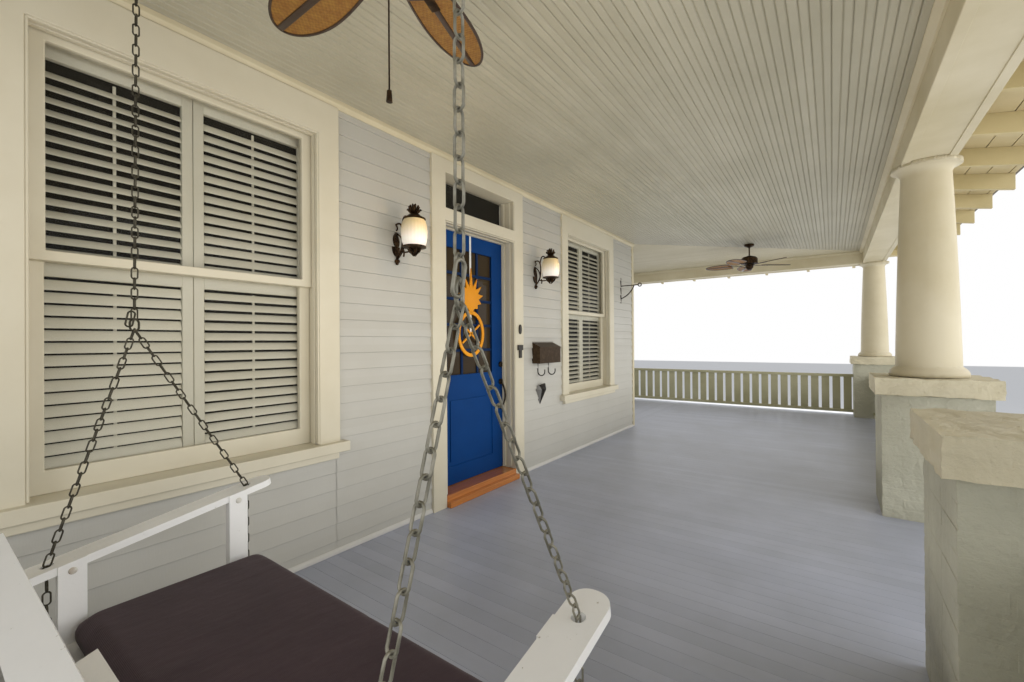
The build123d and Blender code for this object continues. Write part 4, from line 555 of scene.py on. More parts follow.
low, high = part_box("ceiling_front")
half_board, joint_play, spare = bead_pitch / 2, 0.0008, 0.01
pair = []
for number, groove in enumerate((bead_groove, joint_groove)):
    inner_y = high.y - half_board * number
    outer_y = high.y - half_board * (number + 1) + joint_play * number
    pair.append(grooved("bead", (low.x, outer_y, low.z), (high.x + spare, inner_y, high.z), groove))
pair_count = math.ceil((high.y - low.y) / bead_pitch)
beadboard = row(joined("beadboard_front", pair), pair_count, (0, -bead_pitch, 0))
cut(beadboard, (0, low.y, 0), (0, -1, 0))
cut(beadboard, hip_point, hip_normal)
beadboard_side = turned_corner(beadboard, "beadboard_side", "ceiling_side")
ceiling_paint = board_paint("ceiling_paint_front", 1, bead_pitch, "#B5B09D", "#A49F8B")
fitted(beadboard, "porch", ceiling_paint, "ceiling_paint", "ceiling_front")
# Painted light: the side leg's copy of the same paint is paler than the front's, for the light that falls
# differently on that leg.
ceiling_paint = board_paint("ceiling_paint_side_painted_lighter", 0, bead_pitch, "#CBC3AB", "#BDB498")
fitted(beadboard_side, "porch", ceiling_paint, "ceiling_paint", "ceiling_side")

# Roof deck: square-edged sheathing boards nailed across the rafters, seen between the tails.
low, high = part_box("roof_deck_front")
roof_angle = math.radians(11)
deck_run = (high.y - low.y) / math.cos(roof_angle)
sheath_pitch, sheath_gap, deck_thickness = 0.142, 0.006, 0.020
board_top = deck_thickness - 0.0005
sheathing = block(
    "sheathing_front", (low.x, sheath_gap - sheath_pitch, 0), (high.x + spare, 0, board_top), 0.0015
)
row(sheathing, math.ceil(deck_run / sheath_pitch), (0, -sheath_pitch, 0))
cut(sheathing, (0, -deck_run, 0), (0, -1, 0))
moved(sheathing, z=high.z - deck_thickness / math.cos(roof_angle), turn=roof_angle, axis="X")
cut(sheathing, (0, 0, 0), (0, 1, 0))
cut(sheathing, hip_point, hip_normal)
sheathing_side = turned_corner(sheathing, "sheathing_side", "roof_deck_side")
deck_paint = oil_paint("sheathing_oil_paint", "#D0C19B", "#B8A77C", None, 0.5, 0.4, "#8E7C5A")
fitted(sheathing, "porch", deck_paint, "cream_paint", "roof_deck_front")
fitted(sheathing_side, "porch", deck_paint, "cream_paint", "roof_deck_side")


# Roofing: mineral-faced shingle tabs nailed in courses over an underlay. Each course laps the one
# below and starts half a tab aside.
def mineral_shingle():
    """Asphalt shingle with pressed stone granules: dark, matt and speckled, each tab its own tone."""
    material, tree, place = blank("mineral_shingle")
    grit = noise(tree, place, 1000 / 4, 2.0)
    tabs = wire(tree, "ShaderNodeTexVoronoi", {"Vector": place, "Scale": 1000 / 300}).outputs["Color"]
    colour = mixed(tree, grit, mixed(tree, tabs, "#56534F", "#6B6762"), "#8A857D")
    return coated(material, colour, grit, 0.6, 0.001, Roughness=0.95)


tab_width, tab_gap, exposure, tab_thickness, tab_tilt = 0.305, 0.008, 0.143, 0.005, -0.014
tab_seat, underlay_drop, roofing_thickness, roofing_lift = 0.0005, 0.0078, 0.014, 0.002
low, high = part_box("roofing_front")
roof_run = (high.y - low.y) / math.cos(roof_angle)
tab = block("tab", (0, -2 * exposure, 0), (tab_width - tab_gap, 0, tab_thickness), 0.001)
moved(tab, turn=tab_tilt, axis="X")
row(tab, math.ceil((high.x - low.x) / tab_width) + 1, (tab_width, 0, 0))
next_course = copied(tab, "tab", (tab_width / 2, -exposure, 0))
shingles = joined("shingles_front", [tab, next_course])
row(shingles, math.ceil(roof_run / exposure / 2), (0, -2 * exposure, 0))
moved(shingles, low.x - tab_width / 2, 0, tab_seat)
cut(shingles, (0, -roof_run, 0), (0, -1, 0))
cut(shingles, (low.x, 0, 0), (-1, 0, 0))
shingle_foot = high.z - roofing_thickness / math.cos(roof_angle) + roofing_lift
moved(shingles, z=shingle_foot, turn=roof_angle, axis="X")
cut(shingles, (0, 0, 0), (0, 1, 0))
cut(shingles, hip_point, hip_normal)
underlay = moved(softened("roofing_front"), z=-underlay_drop)
shingles = joined("shingles_front", [shingles, underlay])
shingles_side = turned_corner(shingles, "shingles_side", "roofing_side")
shingle = mineral_shingle()
fitted(shingles, "porch", shingle, "roof_shingle", "roofing_front")
fitted(shingles_side, "porch", shingle, "roof_shingle", "roofing_side")

# House walls: lapped pine siding over sheathing, with satin off-white paint. Each course is a
# board with a thick lower edge that throws a thin shadow line.
siding_course, siding_foot, butt, lap = 0.1042, 0.5748, 0.013, 0.003
sheathed = oil_paint("wall_lining_paint", "#C9C5BA", "#BCB8AC", None, 0.7, 0.2)
refinished(sheathed, "front_wall_near", "front_wall_far", "wall_over_door", "side_wall")


def siding(name, start_x, end_x, foot_z, head_z):
    """A field of lapped boards on the front wall, cut to a rectangle."""
    first = math.floor((foot_z - siding_foot) / siding_course)
    low_z = siding_foot + first * siding_course
    piece = block(name, (start_x, -butt, low_z), (end_x, 0, low_z + siding_course))
    for vertex in piece.data.vertices:
        if vertex.co.z > low_z + lap and vertex.co.y < -lap:
            vertex.co.y = -lap
    bevelled(piece, 0.0015, 1, 70)
    row(piece, math.ceil((head_z - low_z) / siding_course), (0, 0, siding_course))
    cut(piece, (0, 0, head_z), (0, 0, 1))
    return cut(piece, (0, 0, foot_z), (0, 0, -1))


window_x, window_half, casing_width, tucked = 2.1, 0.585, 0.132, 0.01
wall_foot, sill_foot, casing_head = 0.602, 1.230, 3.32
door_casing, over_door = 0.59, 0.6
wall_low, wall_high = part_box("front_wall_near")
fields = []
for middle, start_x, end_x in (
    (-window_x, wall_low.x, -door_casing), (window_x, door_casing, corner_x)
):
    left, right = middle - window_half - casing_width, middle + window_half + casing_width
    for field in (
        (start_x, left + 2 * tucked, wall_foot, wall_high.z),
        (right - 2 * tucked, end_x, wall_foot, wall_high.z),
        (left + tucked, right - tucked, wall_foot, sill_foot + tucked),
        (left + tucked, right - tucked, casing_head, wall_high.z),
    ):
        fields.append(siding("field", *field))
fields.append(siding("field", -over_door, over_door, casing_head, wall_high.z))
siding_colours = ("#BDBBB3", "#B3B0A6")
siding_paint = board_paint("siding_oil_paint", 2, siding_course, *siding_colours, 0.4)
fitted(joined("siding_front", fields), "porch", siding_paint, "siding_paint")
side_siding = siding("siding_side", 0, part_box("side_wall")[1].y, wall_foot, wall_high.z)
moved(side_siding, corner_x, turn=math.pi / 2)
side_siding_paint = board_paint("side_siding_oil_paint", 2, siding_course, *siding_colours, 0.4)
fitted(side_siding, "porch", side_siding_paint, "siding_paint")

# Corner board: two planks nailed over the ends of the siding.
plank, proud = 0.045, 0.018
low, high = (corner_x - plank, -proud, wall_foot), (corner_x + proud, plank, wall_high.z)
fitted(block("corner_board", low, high, 0.003, 2), "porch", trim_paint, "cream_paint")

# Gable ends: boarded infill nailed over the end beams, under the slope of the roof, with barge
# boards along its edge.
refitted("gable_ends", "porch", beam_paint, "siding_paint", 0.002, 1)

# Window frames: planed casings nailed over the wall, each with a thick sill and an apron. Two
# rows of stops in the reveal hold the sashes.
casing_paint = oil_paint("casing_oil_paint", "#D2CBB6", "#C7BEA6", None, 0.4, 0.18)
refitted("window_frames", "porch", casing_paint, "cream_paint", 0.004)
window_foot, window_head, stop_depth, stop_play = 1.290, 3.130, 0.026, 0.002
apron_half, apron_out, apron_foot, apron_top = 0.70, 0.045, 1.190, 1.232
stops = []
for middle in (-window_x, window_x):
    left, right = middle - window_half, middle + window_half
    for front, width in ((-0.026, 0.010), (0.004, 0.014)):
        back = front + stop_depth
        for low_x, high_x, low_z, high_z in (
            (left, left + width, window_foot + stop_play, window_head - stop_play),
            (right - width, right, window_foot + stop_play, window_head - stop_play),
            (left, right, window_head - width, window_head),
        ):
            stops.append(block("stop", (low_x, front, low_z), (high_x, back, high_z), 0.003, 3))
    low, high = (middle - apron_half, -apron_out, apron_foot), (middle + apron_half, 0, apron_top)
    stops.append(block("apron", low, high, 0.004, 2))
fitted(joined("window_beads", stops), "porch", casing_paint, "cream_paint")

# Sashes: two pine frames one over the other in each window, with putty bevels round the panes. The
# old glass bends what it mirrors.
refitted("window_sashes", "porch", casing_paint, "cream_paint", 0.005)


def pane(name, tint, clearness, index):
    """Float glass. It gives a sharp mirror of what is bright and a dim view through."""
    material, tree, place = blank(name)
    waves = noise(tree, place, 1000 / 420, 1.0)
    return coated(material, linear(tint), waves, 0.12, 0.002, Roughness=0.02, IOR=index, Alpha=clearness)


refinished(pane("old_float_glass", "#1C1D19", 0.10, 1.5), "window_glass")

# Inside shutters: painted basswood panels with tilting slats, two tiers of them either side of a
# middle rail, and a rod that ties the slats. A dark sheet behind stands for the unlit room.
shutter_low, shutter_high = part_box("window_shutters")
slat_pitch, slat_width, slat_thickness, slat_play = 0.052, 0.047, 0.008, 0.002
stile, top_rail, mid_rail, foot_rail = 0.045, 0.070, 0.075, 0.085
meeting_z, panel_gap = 2.240, 0.003
panel_width = window_half - panel_gap / 2
rod_half, rod_front, rod_back, rod_inset, shade_near, shade_far = 0.006, 0.004, 0.006, 0.01, 0.012, 0.014
slat_tilts = {(-1, -1): (0.88, 1.22), (-1, 1): (1.12, 1.0), (1, -1): (0.88, 0.6), (1, 1): (0.88, 0.6)}


def slats(left_x, right_x, foot_z, head_z, tilt):
    """One tier of slats, all turned the same way."""
    size = {"vertices": 12, "radius": 0.5, "depth": right_x - left_x}
    slat = made("slat", bpy.ops.mesh.primitive_cylinder_add, rotation=(0, math.pi / 2, 0), **size)
    slat.data.transform(Matrix.Diagonal((1, slat_width, slat_thickness, 1)))
    middle_y = (shutter_low.y + shutter_high.y) / 2
    moved(slat, (left_x + right_x) / 2, middle_y, foot_z + slat_pitch / 2, tilt, "X")
    return row(slat, int((head_z - foot_z) / slat_pitch), (0, 0, slat_pitch))


shutter_parts, shades = [], []
front, back, foot, head = shutter_low.y, shutter_high.y, shutter_low.z, shutter_high.z
for window in (-1, 1):
    middle = window * window_x
    for side in (-1, 1):
        left = middle - panel_width - panel_gap / 2 if side < 0 else middle + panel_gap / 2
        right = left + panel_width
        inner_left, inner_right, rod_x = left + stile, right - stile, (left + right) / 2
        for low_x, high_x, low_z, high_z in (
            (left, inner_left, foot, head),
            (inner_right, right, foot, head),
            (inner_left, inner_right, head - top_rail, head),
            (inner_left, inner_right, meeting_z - mid_rail, meeting_z),
            (inner_left, inner_right, foot, foot + foot_rail),
        ):
            shutter_parts.append(block("shutter", (low_x, front, low_z), (high_x, back, high_z), 0.002, 2))
        tiers = ((meeting_z, head - top_rail), (foot + foot_rail, meeting_z - mid_rail))
        for (low_z, high_z), tilt in zip(tiers, slat_tilts[window, side]):
            shutter_parts.append(slats(inner_left + slat_play, inner_right - slat_play, low_z, high_z, tilt))
            low = (rod_x - rod_half, back - rod_front, low_z + rod_inset)
            high = (rod_x + rod_half, back + rod_back, high_z - rod_inset)
            shutter_parts.append(block("rod", low, high, 0.003, 2))
    low = (middle - panel_width, back + shade_near, foot)
    shades.append(block("shade", low, (middle + panel_width, back + shade_far, head)))
shutters = smoothed(joined("shutters", shutter_parts), 35)
shutter_paint = oil_paint("shutter_lacquer", "#E2DECB", "#D6D1BB", 0, 0.35, 0.1)
fitted(shutters, "porch", shutter_paint, "cream_paint", "window_shutters")
# The light over the door has a dark sheet of its own.
shades.append(block("shade", (-0.46, 0.150, 2.920), (0.46, 0.152, 3.228)))
room_shade = oil_paint("unlit_room_shade", "#2A2720", "#1F1D18", None, 0.9, 0.1)
fitted(joined("room_shades", shades), "porch", room_shade, "cream_paint")

# Door frame: jambs, a head and a transom rail of pine, with casings nailed over the wall. Three
# rows of planted stops run round the door and round the light over it.
refitted("door_frame", "porch", casing_paint, "cream_paint", 0.003)
door_half, door_foot, door_head, light_foot, light_head = 0.465, 0.700, 2.842, 2.918, 3.226
stops = []
for front, length, width in ((-0.027, 0.020, 0.010), (0.020, 0.034, 0.012), (0.088, 0.033, 0.016)):
    back, light_back = front + length, front + length * 0.9
    for low_x, high_x in ((-door_half, width - door_half), (door_half - width, door_half)):
        stops.append(block("stop", (low_x, front, door_foot), (high_x, back, door_head), 0.003, 2))
        stops.append(block("stop", (low_x, front, light_foot), (high_x, light_back, light_head), 0.003, 2))
    low, high = (-door_half, front, door_head - width), (door_half, back, door_head)
    stops.append(block("stop", low, high, 0.003, 2))
fitted(joined("door_beads", stops), "porch", casing_paint, "cream_paint")


# Door sill: a planed softwood timber under a glossy orange-brown varnish, with rounded edges,
# bedded between the jambs.
def varnished_wood(name, wood, dark, roughness=0.25):
    """Varnished softwood: straight grain along X under a glossy coat."""
    material, tree, place = blank(name)
    figure = noise(tree, place, 1.0, 5.0, stretch=(3.0, 90.0, 90.0))
    colour = mixed(tree, figure, dark, wood)
    return coated(material, colour, figure, 0.2, 0.0006, Roughness=roughness, Coat_Weight=0.6)


sill_varnish = varnished_wood("sill_varnish", "#D58A3A", "#8E4716")
refitted("door_sill", "porch", sill_varnish, "sill_wood", 0.006, 3)

# Front door: a framed pine leaf with deep blue satin paint, fifteen lights and a raised panel. The
# bars between the lights are painted a darker blue, as painted shade.
door_paint = oil_paint("deep_blue_door_paint", "#033A75", "#022F62", 2, 0.5, 0.2)
dressed(door_paint, Specular_IOR_Level=0.2)
low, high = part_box("door_glass")
tree = door_paint.node_tree
split = wire(tree, "ShaderNodeSeparateXYZ", {0: wire(tree, "ShaderNodeTexCoord").outputs["Object"]}).outputs
painted_shade_on_bars = [
    calc(tree, "COMPARE", split[axis], (low[axis] + high[axis]) / 2, (high[axis] - low[axis]) / 2)
    for axis in (0, 2)
]
# Painted shade: a darker blue over the bars between the lights.
overlaid(door_paint, calc(tree, "MULTIPLY", *painted_shade_on_bars), "#04244A")
refitted("front_door", "front_door", door_paint, "door_blue", 0.0025)
# The door's glass is all but opaque and dark brown: painted shade for the unlit room behind it.
refinished(pane("door_glass_painted_room_shade", "#3A2F20", 0.97, 1.3), "door_glass")


# Door furniture: sand-cast bronze with an oil-rubbed finish, screwed to the leaf and the frame.
def cast_metal(name, colour, rub, roughness=0.42, metallic=0.9, pits=0.3):
    """Cast metal with a dark finish, rubbed brighter in patches."""
    material, tree, place = blank(name)
    share = spread(tree, noise(tree, place, 1000 / 22, 5.0), 0.45, 0.75, 0.0, 0.8)
    sand = noise(tree, place, 1000 / 3, 3.0)
    tone = mixed(tree, share, colour, rub)
    return coated(material, tone, sand, pits, 0.0006, Roughness=roughness, Metallic=metallic)


door_bronze = cast_metal("oil_rubbed_bronze", "#2E2620", "#8A7A60")
refitted("door_handle", "front_door", door_bronze, "door_metal", 0.001)
refinished(door_bronze, "door_hinges", "door_hinge_leaves")

# Strap: thin white enamelled steel, bent over the top of the leaf to carry the plaque.
strap_enamel = cast_metal("white_enamel", "#E6E5E0", "#D4D2CA", 0.3, 0.0, 0.05)
refitted("plaque_hanger", "front_door", strap_enamel, "strap_white")


# Plaque: a fruit sawn out of board, with orange-yellow gloss paint. It has a thin oval body with
# two crossed bars and a solid crown of pointed leaves.
def flat_shape(name, outline):
    """A flat sheet with the given edge."""
    piece = made(name, bpy.ops.mesh.primitive_circle_add, vertices=len(outline), fill_type="NGON")
    for vertex, (x, y) in zip(piece.data.vertices, outline):
        vertex.co = (x, y, 0)
    return piece


def hollowed(sheet, width):
    """Cuts the middle out of a flat sheet and leaves a rim of that width."""
    select_only(sheet)
    bpy.ops.object.mode_set(mode="EDIT")
    bpy.ops.mesh.select_all(action="SELECT")
    bpy.ops.mesh.inset(thickness=width)
    bpy.ops.mesh.delete(type="FACE")
    bpy.ops.object.mode_set(mode="OBJECT")
    return sheet


low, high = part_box("door_plaque")
wide, deep, tall = high - low
oval_tall = tall * 0.51
oval_centre, crown_centre = low.z + oval_tall / 2, low.z + tall * 0.650
notch, widened = 0.125, 1.02
leaf_tips = [(66, 0.245), (40, 0.225), (12, 0.205), (-18, 0.175), (-46, 0.155)]
mirrored_tips = [(180 - angle, length) for angle, length in leaf_tips]
tips = sorted([(90, 0.335), (-90, 0.190)] + leaf_tips + mirrored_tips)
crown_edge = []
for number, (angle, length) in enumerate(tips):
    following = tips[number + 1][0] if number + 1 < len(tips) else 270
    for turn, far in ((angle, length), ((angle + following) / 2, notch)):
        across = math.cos(math.radians(turn)) * far * tall * widened
        crown_edge.append((across, math.sin(math.radians(turn)) * far * tall))
ring_angles = [math.tau * number / 40 for number in range(40)]
ring_edge = [(wide / 2 * math.cos(angle), oval_tall / 2 * math.sin(angle)) for angle in ring_angles]
plaque_parts = [flat_shape("crown", crown_edge), hollowed(flat_shape("ring", ring_edge), wide * 0.085)]
for sheet, rise in zip(plaque_parts, (crown_centre, oval_centre)):
    modify(sheet, "SOLIDIFY", thickness=deep, offset=0)
    moved(sheet, (low.x + high.x) / 2, (low.y + high.y) / 2, rise, math.pi / 2, "X")
bar_reach, bar_half, bar_slope, bar_inset = wide * 0.40, 0.009, 0.62, 0.0005
for slope in (-bar_slope, bar_slope):
    bar_low, bar_high = (-bar_reach, low.y + bar_inset, -bar_half), (bar_reach, high.y - bar_inset, bar_half)
    bar = block("bar", bar_low, bar_high, 0.001)
    plaque_parts.append(moved(bar, (low.x + high.x) / 2, 0, oval_centre, slope, "Y"))
plaque = smoothed(bevelled(joined("plaque", plaque_parts), 0.0015, 2, 40), 35)
plaque_paint = oil_paint("plaque_gloss_paint", "#E89A08", "#D68504", None, 0.4, 0.3)
fitted(plaque, "front_door", plaque_paint, "plaque_paint", "door_plaque")

# Sweep: black felt in a strip, screwed under the leaf and just clear of the sill. It fills the gap
# under the door with painted shade, where the unlit room would show.
sweep_felt_painted_shade = cast_metal("sweep_felt_painted_shade", "#1A1A1A", "#242424", 0.95, 0.0, 0.6)
sweep_half, sweep_front, sweep_back, clearance, tucked_up = 0.440, 0.138, 0.158, 0.001, 0.004
low = (-sweep_half, sweep_front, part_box("door_sill")[1].z + clearance)
high = (sweep_half, sweep_back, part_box("front_door")[0].z + tucked_up)
fitted(block("door_sweep", low, high), "front_door", sweep_felt_painted_shade, "door_metal")

# Railings: sawn boards between two rails, toenailed to the columns, with old cream paint.
rail_paint = oil_paint("railing_oil_paint", "#ABA789", "#96926F", None, 0.55, 0.4)
for railing in ("railing_front", "railing_far_side", "railing_ends"):
    refitted(railing, "porch", rail_paint, "cream_paint", 0.003, 1)


# Wall lanterns: cast aluminium with a dark bronze finish. A bowed stem and two ribs stand off an
# oval back plate and end in a knob. The stem carries a leafy dish, a barrel of ribbed glass and
# a cap with a crown of curled leaves. The lamp inside is drawn as the glass's own glow, painted
# paler and brighter over its lower half: painted light.
def bent_bar(name, points, radius, taper=None):
    """A round bar bent smoothly through some points. taper scales its radius at each of them."""
    bar = made(name, bpy.ops.curve.primitive_nurbs_path_add)
    bar.data.splines.clear()
    line = bar.data.splines.new("NURBS")
    line.points.add(len(points) - 1)
    for number, (knot, place) in enumerate(zip(line.points, points)):
        knot.co = (*place, 1)
        knot.radius = taper[number] if taper else 1.0
    line.use_endpoint_u = True
    line.order_u = 3
    bar.data.resolution_u = 5
    bar.data.bevel_depth = radius
    bar.data.bevel_resolution = 2
    bar.data.use_fill_caps = True
    bpy.ops.object.convert(target="MESH")
    return bpy.context.object


def turned(name, profile, rounds=32):
    """A round piece turned from half its outline, given as radius and height from the foot up."""
    piece = made(name, bpy.ops.mesh.primitive_circle_add, vertices=len(profile))
    for vertex, (radius, height) in zip(piece.data.vertices, profile):
        vertex.co = (radius, 0, height)
    merge = {"use_merge_vertices": True, "use_normal_calculate": True}
    modify(piece, "SCREW", steps=rounds, render_steps=rounds, **merge)
    reworked(piece, bpy.ops.mesh.remove_doubles, threshold=0.0001)
    reworked(piece, bpy.ops.mesh.dissolve_degenerate, threshold=0.0001)
    reworked(piece, bpy.ops.mesh.delete_loose)
    reworked(piece, bpy.ops.mesh.normals_make_consistent, inside=False)
    return smoothed(piece, 40)


def ball(name, radius, place, scale=(1, 1, 1)):
    """A rounded knob or bead."""
    size = {"segments": 16, "ring_count": 10, "radius": radius, "scale": scale}
    piece = made(name, bpy.ops.mesh.primitive_uv_sphere_add, location=place, **size)
    bpy.ops.object.shade_smooth()
    return piece


def whorl(piece, count, start=0.0):
    """Copies of a piece set evenly round an upright axis, which take its place."""
    turns = [math.tau * (number + start) / count for number in range(count)]
    copies = [moved(copied(piece, "leaf"), turn=turn) for turn in turns]
    bpy.data.objects.remove(piece)
    return copies


# The stem and its scrolls lie in the plane square to the wall: each is a radius and its points,
# as distance from the wall and height.
metal = []
for radius, points in (
    (0.0065, (
        (-0.004, 0.086), (-0.050, 0.098), (-0.076, 0.050), (-0.078, -0.040), (-0.062, -0.110),
        (-0.014, -0.158),
    )),
    (0.0060, ((-0.070, 0.060), (-0.082, 0.122), (-0.112, 0.134), (-0.134, 0.106), (-0.124, 0.099))),
    (0.0055, ((-0.064, -0.108), (-0.090, -0.118), (-0.140, -0.118), (-0.165, -0.112))),
    (0.0060, ((-0.086, -0.100), (-0.094, -0.126), (-0.086, -0.146))),
    (0.0055, ((-0.002, 0.086), (-0.020, 0.074), (-0.024, 0.050), (-0.010, 0.044))),
):
    metal.append(bent_bar("stem", [(0, y, z) for y, z in points], radius))
metal += [
    ball("back_plate", 0.5, (0, -0.006, -0.062), (0.074, 0.016, 0.176)),
    ball("knob", 0.020, (0, -0.018, -0.170), (1, 1, 0.8)),
    ball("knob_drop", 0.012, (0, -0.018, -0.186), (1, 1, 0.9)),
]
rib_line = (
    (0, -0.006, 0.030), (0.030, -0.034, 0.004), (0.034, -0.052, -0.06), (0.020, -0.042, -0.12),
    (0, -0.014, -0.160),
)
for side in (-1, 1):
    metal.append(bent_bar("rib", [(side * x, y, z) for x, y, z in rib_line], 0.006))
dish_top, cap_foot = -0.0895, 0.0895
dish = turned("dish", [
    (0, -0.142), (0.010, -0.140), (0.022, -0.118), (0.046, -0.104), (0.078, -0.098),
    (0.080, dish_top), (0, dish_top),
])
cap = turned("cap", [
    (0, cap_foot), (0.070, cap_foot), (0.077, 0.094), (0.073, 0.101), (0.050, 0.112),
    (0.034, 0.126), (0.022, 0.134), (0.020, 0.142), (0, 0.150),
])
leaves = []
for tier, (count, out, rise) in enumerate(((8, 0.044, 0.160), (7, 0.034, 0.182), (4, 0.014, 0.194))):
    line = (
        (0.006, 0, 0.128), (out * 0.7, 0, 0.142), (out * 0.9, 0, rise - 0.004), (out, 0, rise),
        (out * 1.1, 0, rise - 0.010),
    )
    leaves += whorl(bent_bar("leaf", line, 0.0062, (0.9, 1.2, 1.0, 0.8, 0.4)), count, tier / 2)
drop_line = ((0.048, 0, -0.098), (0.036, 0, -0.122), (0.022, 0, -0.130), (0.008, 0, -0.156))
leaves += whorl(bent_bar("leaf", drop_line, 0.010, (0.3, 1.0, 0.8, 0.2)), 6)
lamp_reach = 0.195
crowned = moved(joined("crowned", [dish, cap, *leaves]), y=-lamp_reach)
one_lantern = joined("one_lantern", metal + [crowned])
glass_end, glass_edge, flute_count, flute_depth = 0.089, 0.085, 24, 0.008
shade = turned("shade", [
    (0, -glass_end), (0.070, -glass_end), (0.080, -0.066), (0.087, -0.025), (0.088, 0.015),
    (0.084, 0.050), (0.076, 0.078), (0.068, glass_end), (0, glass_end),
], 96)
for vertex in shade.data.vertices:
    turn = math.atan2(vertex.co.y, vertex.co.x)
    flute = 1 - flute_depth * (1 + math.cos(flute_count * turn)) if abs(vertex.co.z) < glass_edge else 1
    vertex.co.x *= flute
    vertex.co.y *= flute
lantern_z = 2.624
lantern_places = [(-0.930, 0, lantern_z), (0.850, 0, lantern_z)]
lanterns = [copied(one_lantern, "lantern", place) for place in lantern_places]
shades = [copied(shade, "shade", (x, -lamp_reach, z)) for x, y, z in lantern_places]
bpy.data.objects.remove(one_lantern)
bpy.data.objects.remove(shade)
lantern_bronze = cast_metal("lantern_bronze", "#33261B", "#7A5B3C")
lantern_metal = smoothed(joined("lanterns", lanterns), 50)
fitted(lantern_metal, "porch", lantern_bronze, "dark_bronze", "wall_lanterns")
glow, tree, place = blank("ribbed_glass_painted_glow")
height = wire(tree, "ShaderNodeSeparateXYZ", {0: place}).outputs[2]
# Painted light: towards the foot, near the bulb, the glass is painted paler and glows brighter.
painted_bulb_glow = spread(tree, height, 2.700, 2.560, interpolation_type="SMOOTHSTEP")
amber = mixed(tree, noise(tree, place, 1000 / 30, 3.0), "#D9C79E", "#CDB88C")
cream = mixed(tree, painted_bulb_glow, amber, "#F0E9DF")
power = spread(tree, painted_bulb_glow, 0.0, 1.0, 0.04, 0.24)
dressed(glow, Base_Color=cream, Emission_Color=cream, Emission_Strength=power, Roughness=0.35)
fitted(joined("lantern_shades", shades), "porch", glow, "frosted_glass", "lantern_glass")
for side in (-1, 1):
    bpy.ops.object.light_add(type="POINT", radius=0.08, location=(side * 0.9, -0.50, 2.70))
    warm = bpy.context.object
    warm.name = "lantern_light"
    warm.data.energy = 1.6
    warm.data.color = linear("#FFD9A0")[:3]
    warm.visible_camera = False
    warm.visible_glossy = False

# Mailbox with its lid and two hooks for papers: folded sheet steel with dark hammered paint,
# screwed to the siding. The hooks are bent wire.
box_paint = cast_metal("hammered_bronze_paint", "#40301F", "#5C4A34", 0.45, 0.6, 0.6)
refitted("mailbox", "porch", box_paint, "box_metal", 0.0008)
refitted("mailbox_lid", "mailbox_lid", box_paint, "box_metal", 0.0008)
hook_black = cast_metal("black_hook_wire", "#15110D", "#2A241E", 0.55, 0.2, 0.2)
paper_hooks = modify(softened("paper_hooks"), "DISPLACE", strength=0.0015, mid_level=0)
fitted(paper_hooks, "porch", hook_black, "box_metal", "paper_hooks")

# Wall pocket: a half cone of beaten sheet metal with an arched mouth. The side towards the door
# is pale grey up to a slanted line, and the rest is nearly black.
pocket = softened("wall_pocket")
low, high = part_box("wall_pocket")
middle = (low.x + high.x) / 2
half, tall = high.x - middle, high.z - low.z
crest, flare, drawn, mouth_drop, mouth_share = 0.008, 1.12, 1.07, 0.034, 3
for vertex in pocket.data.vertices:
    aside = (vertex.co.x - middle) / half
    lift = max(0.0, (vertex.co.z - high.z) / tall * mouth_share + 1)
    vertex.co = (
        middle + flare * half * aside,
        flare * vertex.co.y,
        high.z + crest - (high.z - vertex.co.z) * drawn - mouth_drop * lift * aside**2,
    )
pocket_metal = cast_metal("beaten_metal_pale_and_dark", "#24211E", "#4A463F", 0.5, 0.5, 0.8)
slant, fold_half = 0.26, 0.002
fold_line = middle + slant * low.z
tree = pocket_metal.node_tree
inputs = {0: wire(tree, "ShaderNodeTexCoord").outputs["Object"], 1: (1, 0, slant)}
fold = wire(tree, "ShaderNodeVectorMath", inputs, operation="DOT_PRODUCT").outputs["Value"]
overlaid(pocket_metal, spread(tree, fold, fold_line + fold_half, fold_line - fold_half), "#8E8D8A")
fitted(pocket, "porch", pocket_metal, "dark_bronze", "wall_pocket")

# Doorbell: dark moulded plastic, screwed to the casing.
bell_plastic = cast_metal("bell_plastic", "#2B2825", "#4A4641", 0.4, 0.0, 0.1)
refitted("doorbell", "porch", bell_plastic, "bell_plastic", 0.002)

# Plant bracket: forged flat iron, its black paint gone brown, screwed to the wall.
bracket_iron = cast_metal("forged_iron", "#3B332C", "#5E4E40", 0.6, 0.8, 0.5)
refitted("plant_bracket", "porch", bracket_iron, "box_metal", 0.001)

# Ceiling fans: cast motor housings with a dark bronze finish, hung on rods from the ceiling. The
# near one has a pull chain.
fan_bronze = cast_metal("fan_bronze", "#3A2C20", "#6E563C")
refitted("fan_motors", "porch", fan_bronze, "fan_metal", 0.002)
refitted("fan_pull_chain", "porch", fan_bronze, "fan_metal")


# Fan blades: cane woven on five leaf-shaped frames of dark wood, each with a rib down its middle
# and an iron screwed to the hub.
def woven_cane():
    """Split cane in a basket weave under amber varnish."""
    material, tree, place = blank("woven_cane")
    strands = 1000 / 9
    weave = wire(tree, "ShaderNodeTexChecker", {"Vector": place, "Scale": strands}).outputs["Fac"]
    inputs = {"Vector": place, "Scale": strands / 4, "Distortion": 1.0, "Detail": 2.0}
    ribs = wire(tree, "ShaderNodeTexWave", inputs).outputs["Fac"]
    tone = mixed(tree, noise(tree, place, 1000 / 24, 5.0), "#6A3512", "#A8823A")
    colour = mixed(tree, calc(tree, "MULTIPLY", weave, 0.30), tone, "#5E3510")
    return coated(material, colour, calc(tree, "ADD", weave, ribs), 0.5, 0.0012, Roughness=0.5)


blade_root, blade_widest, blade_tip, root_half, widest_half = 0.235, 0.400, 0.630, 0.088, 0.103
rib_half, rib_depth, iron_half = 0.012, 0.0055, 0.017


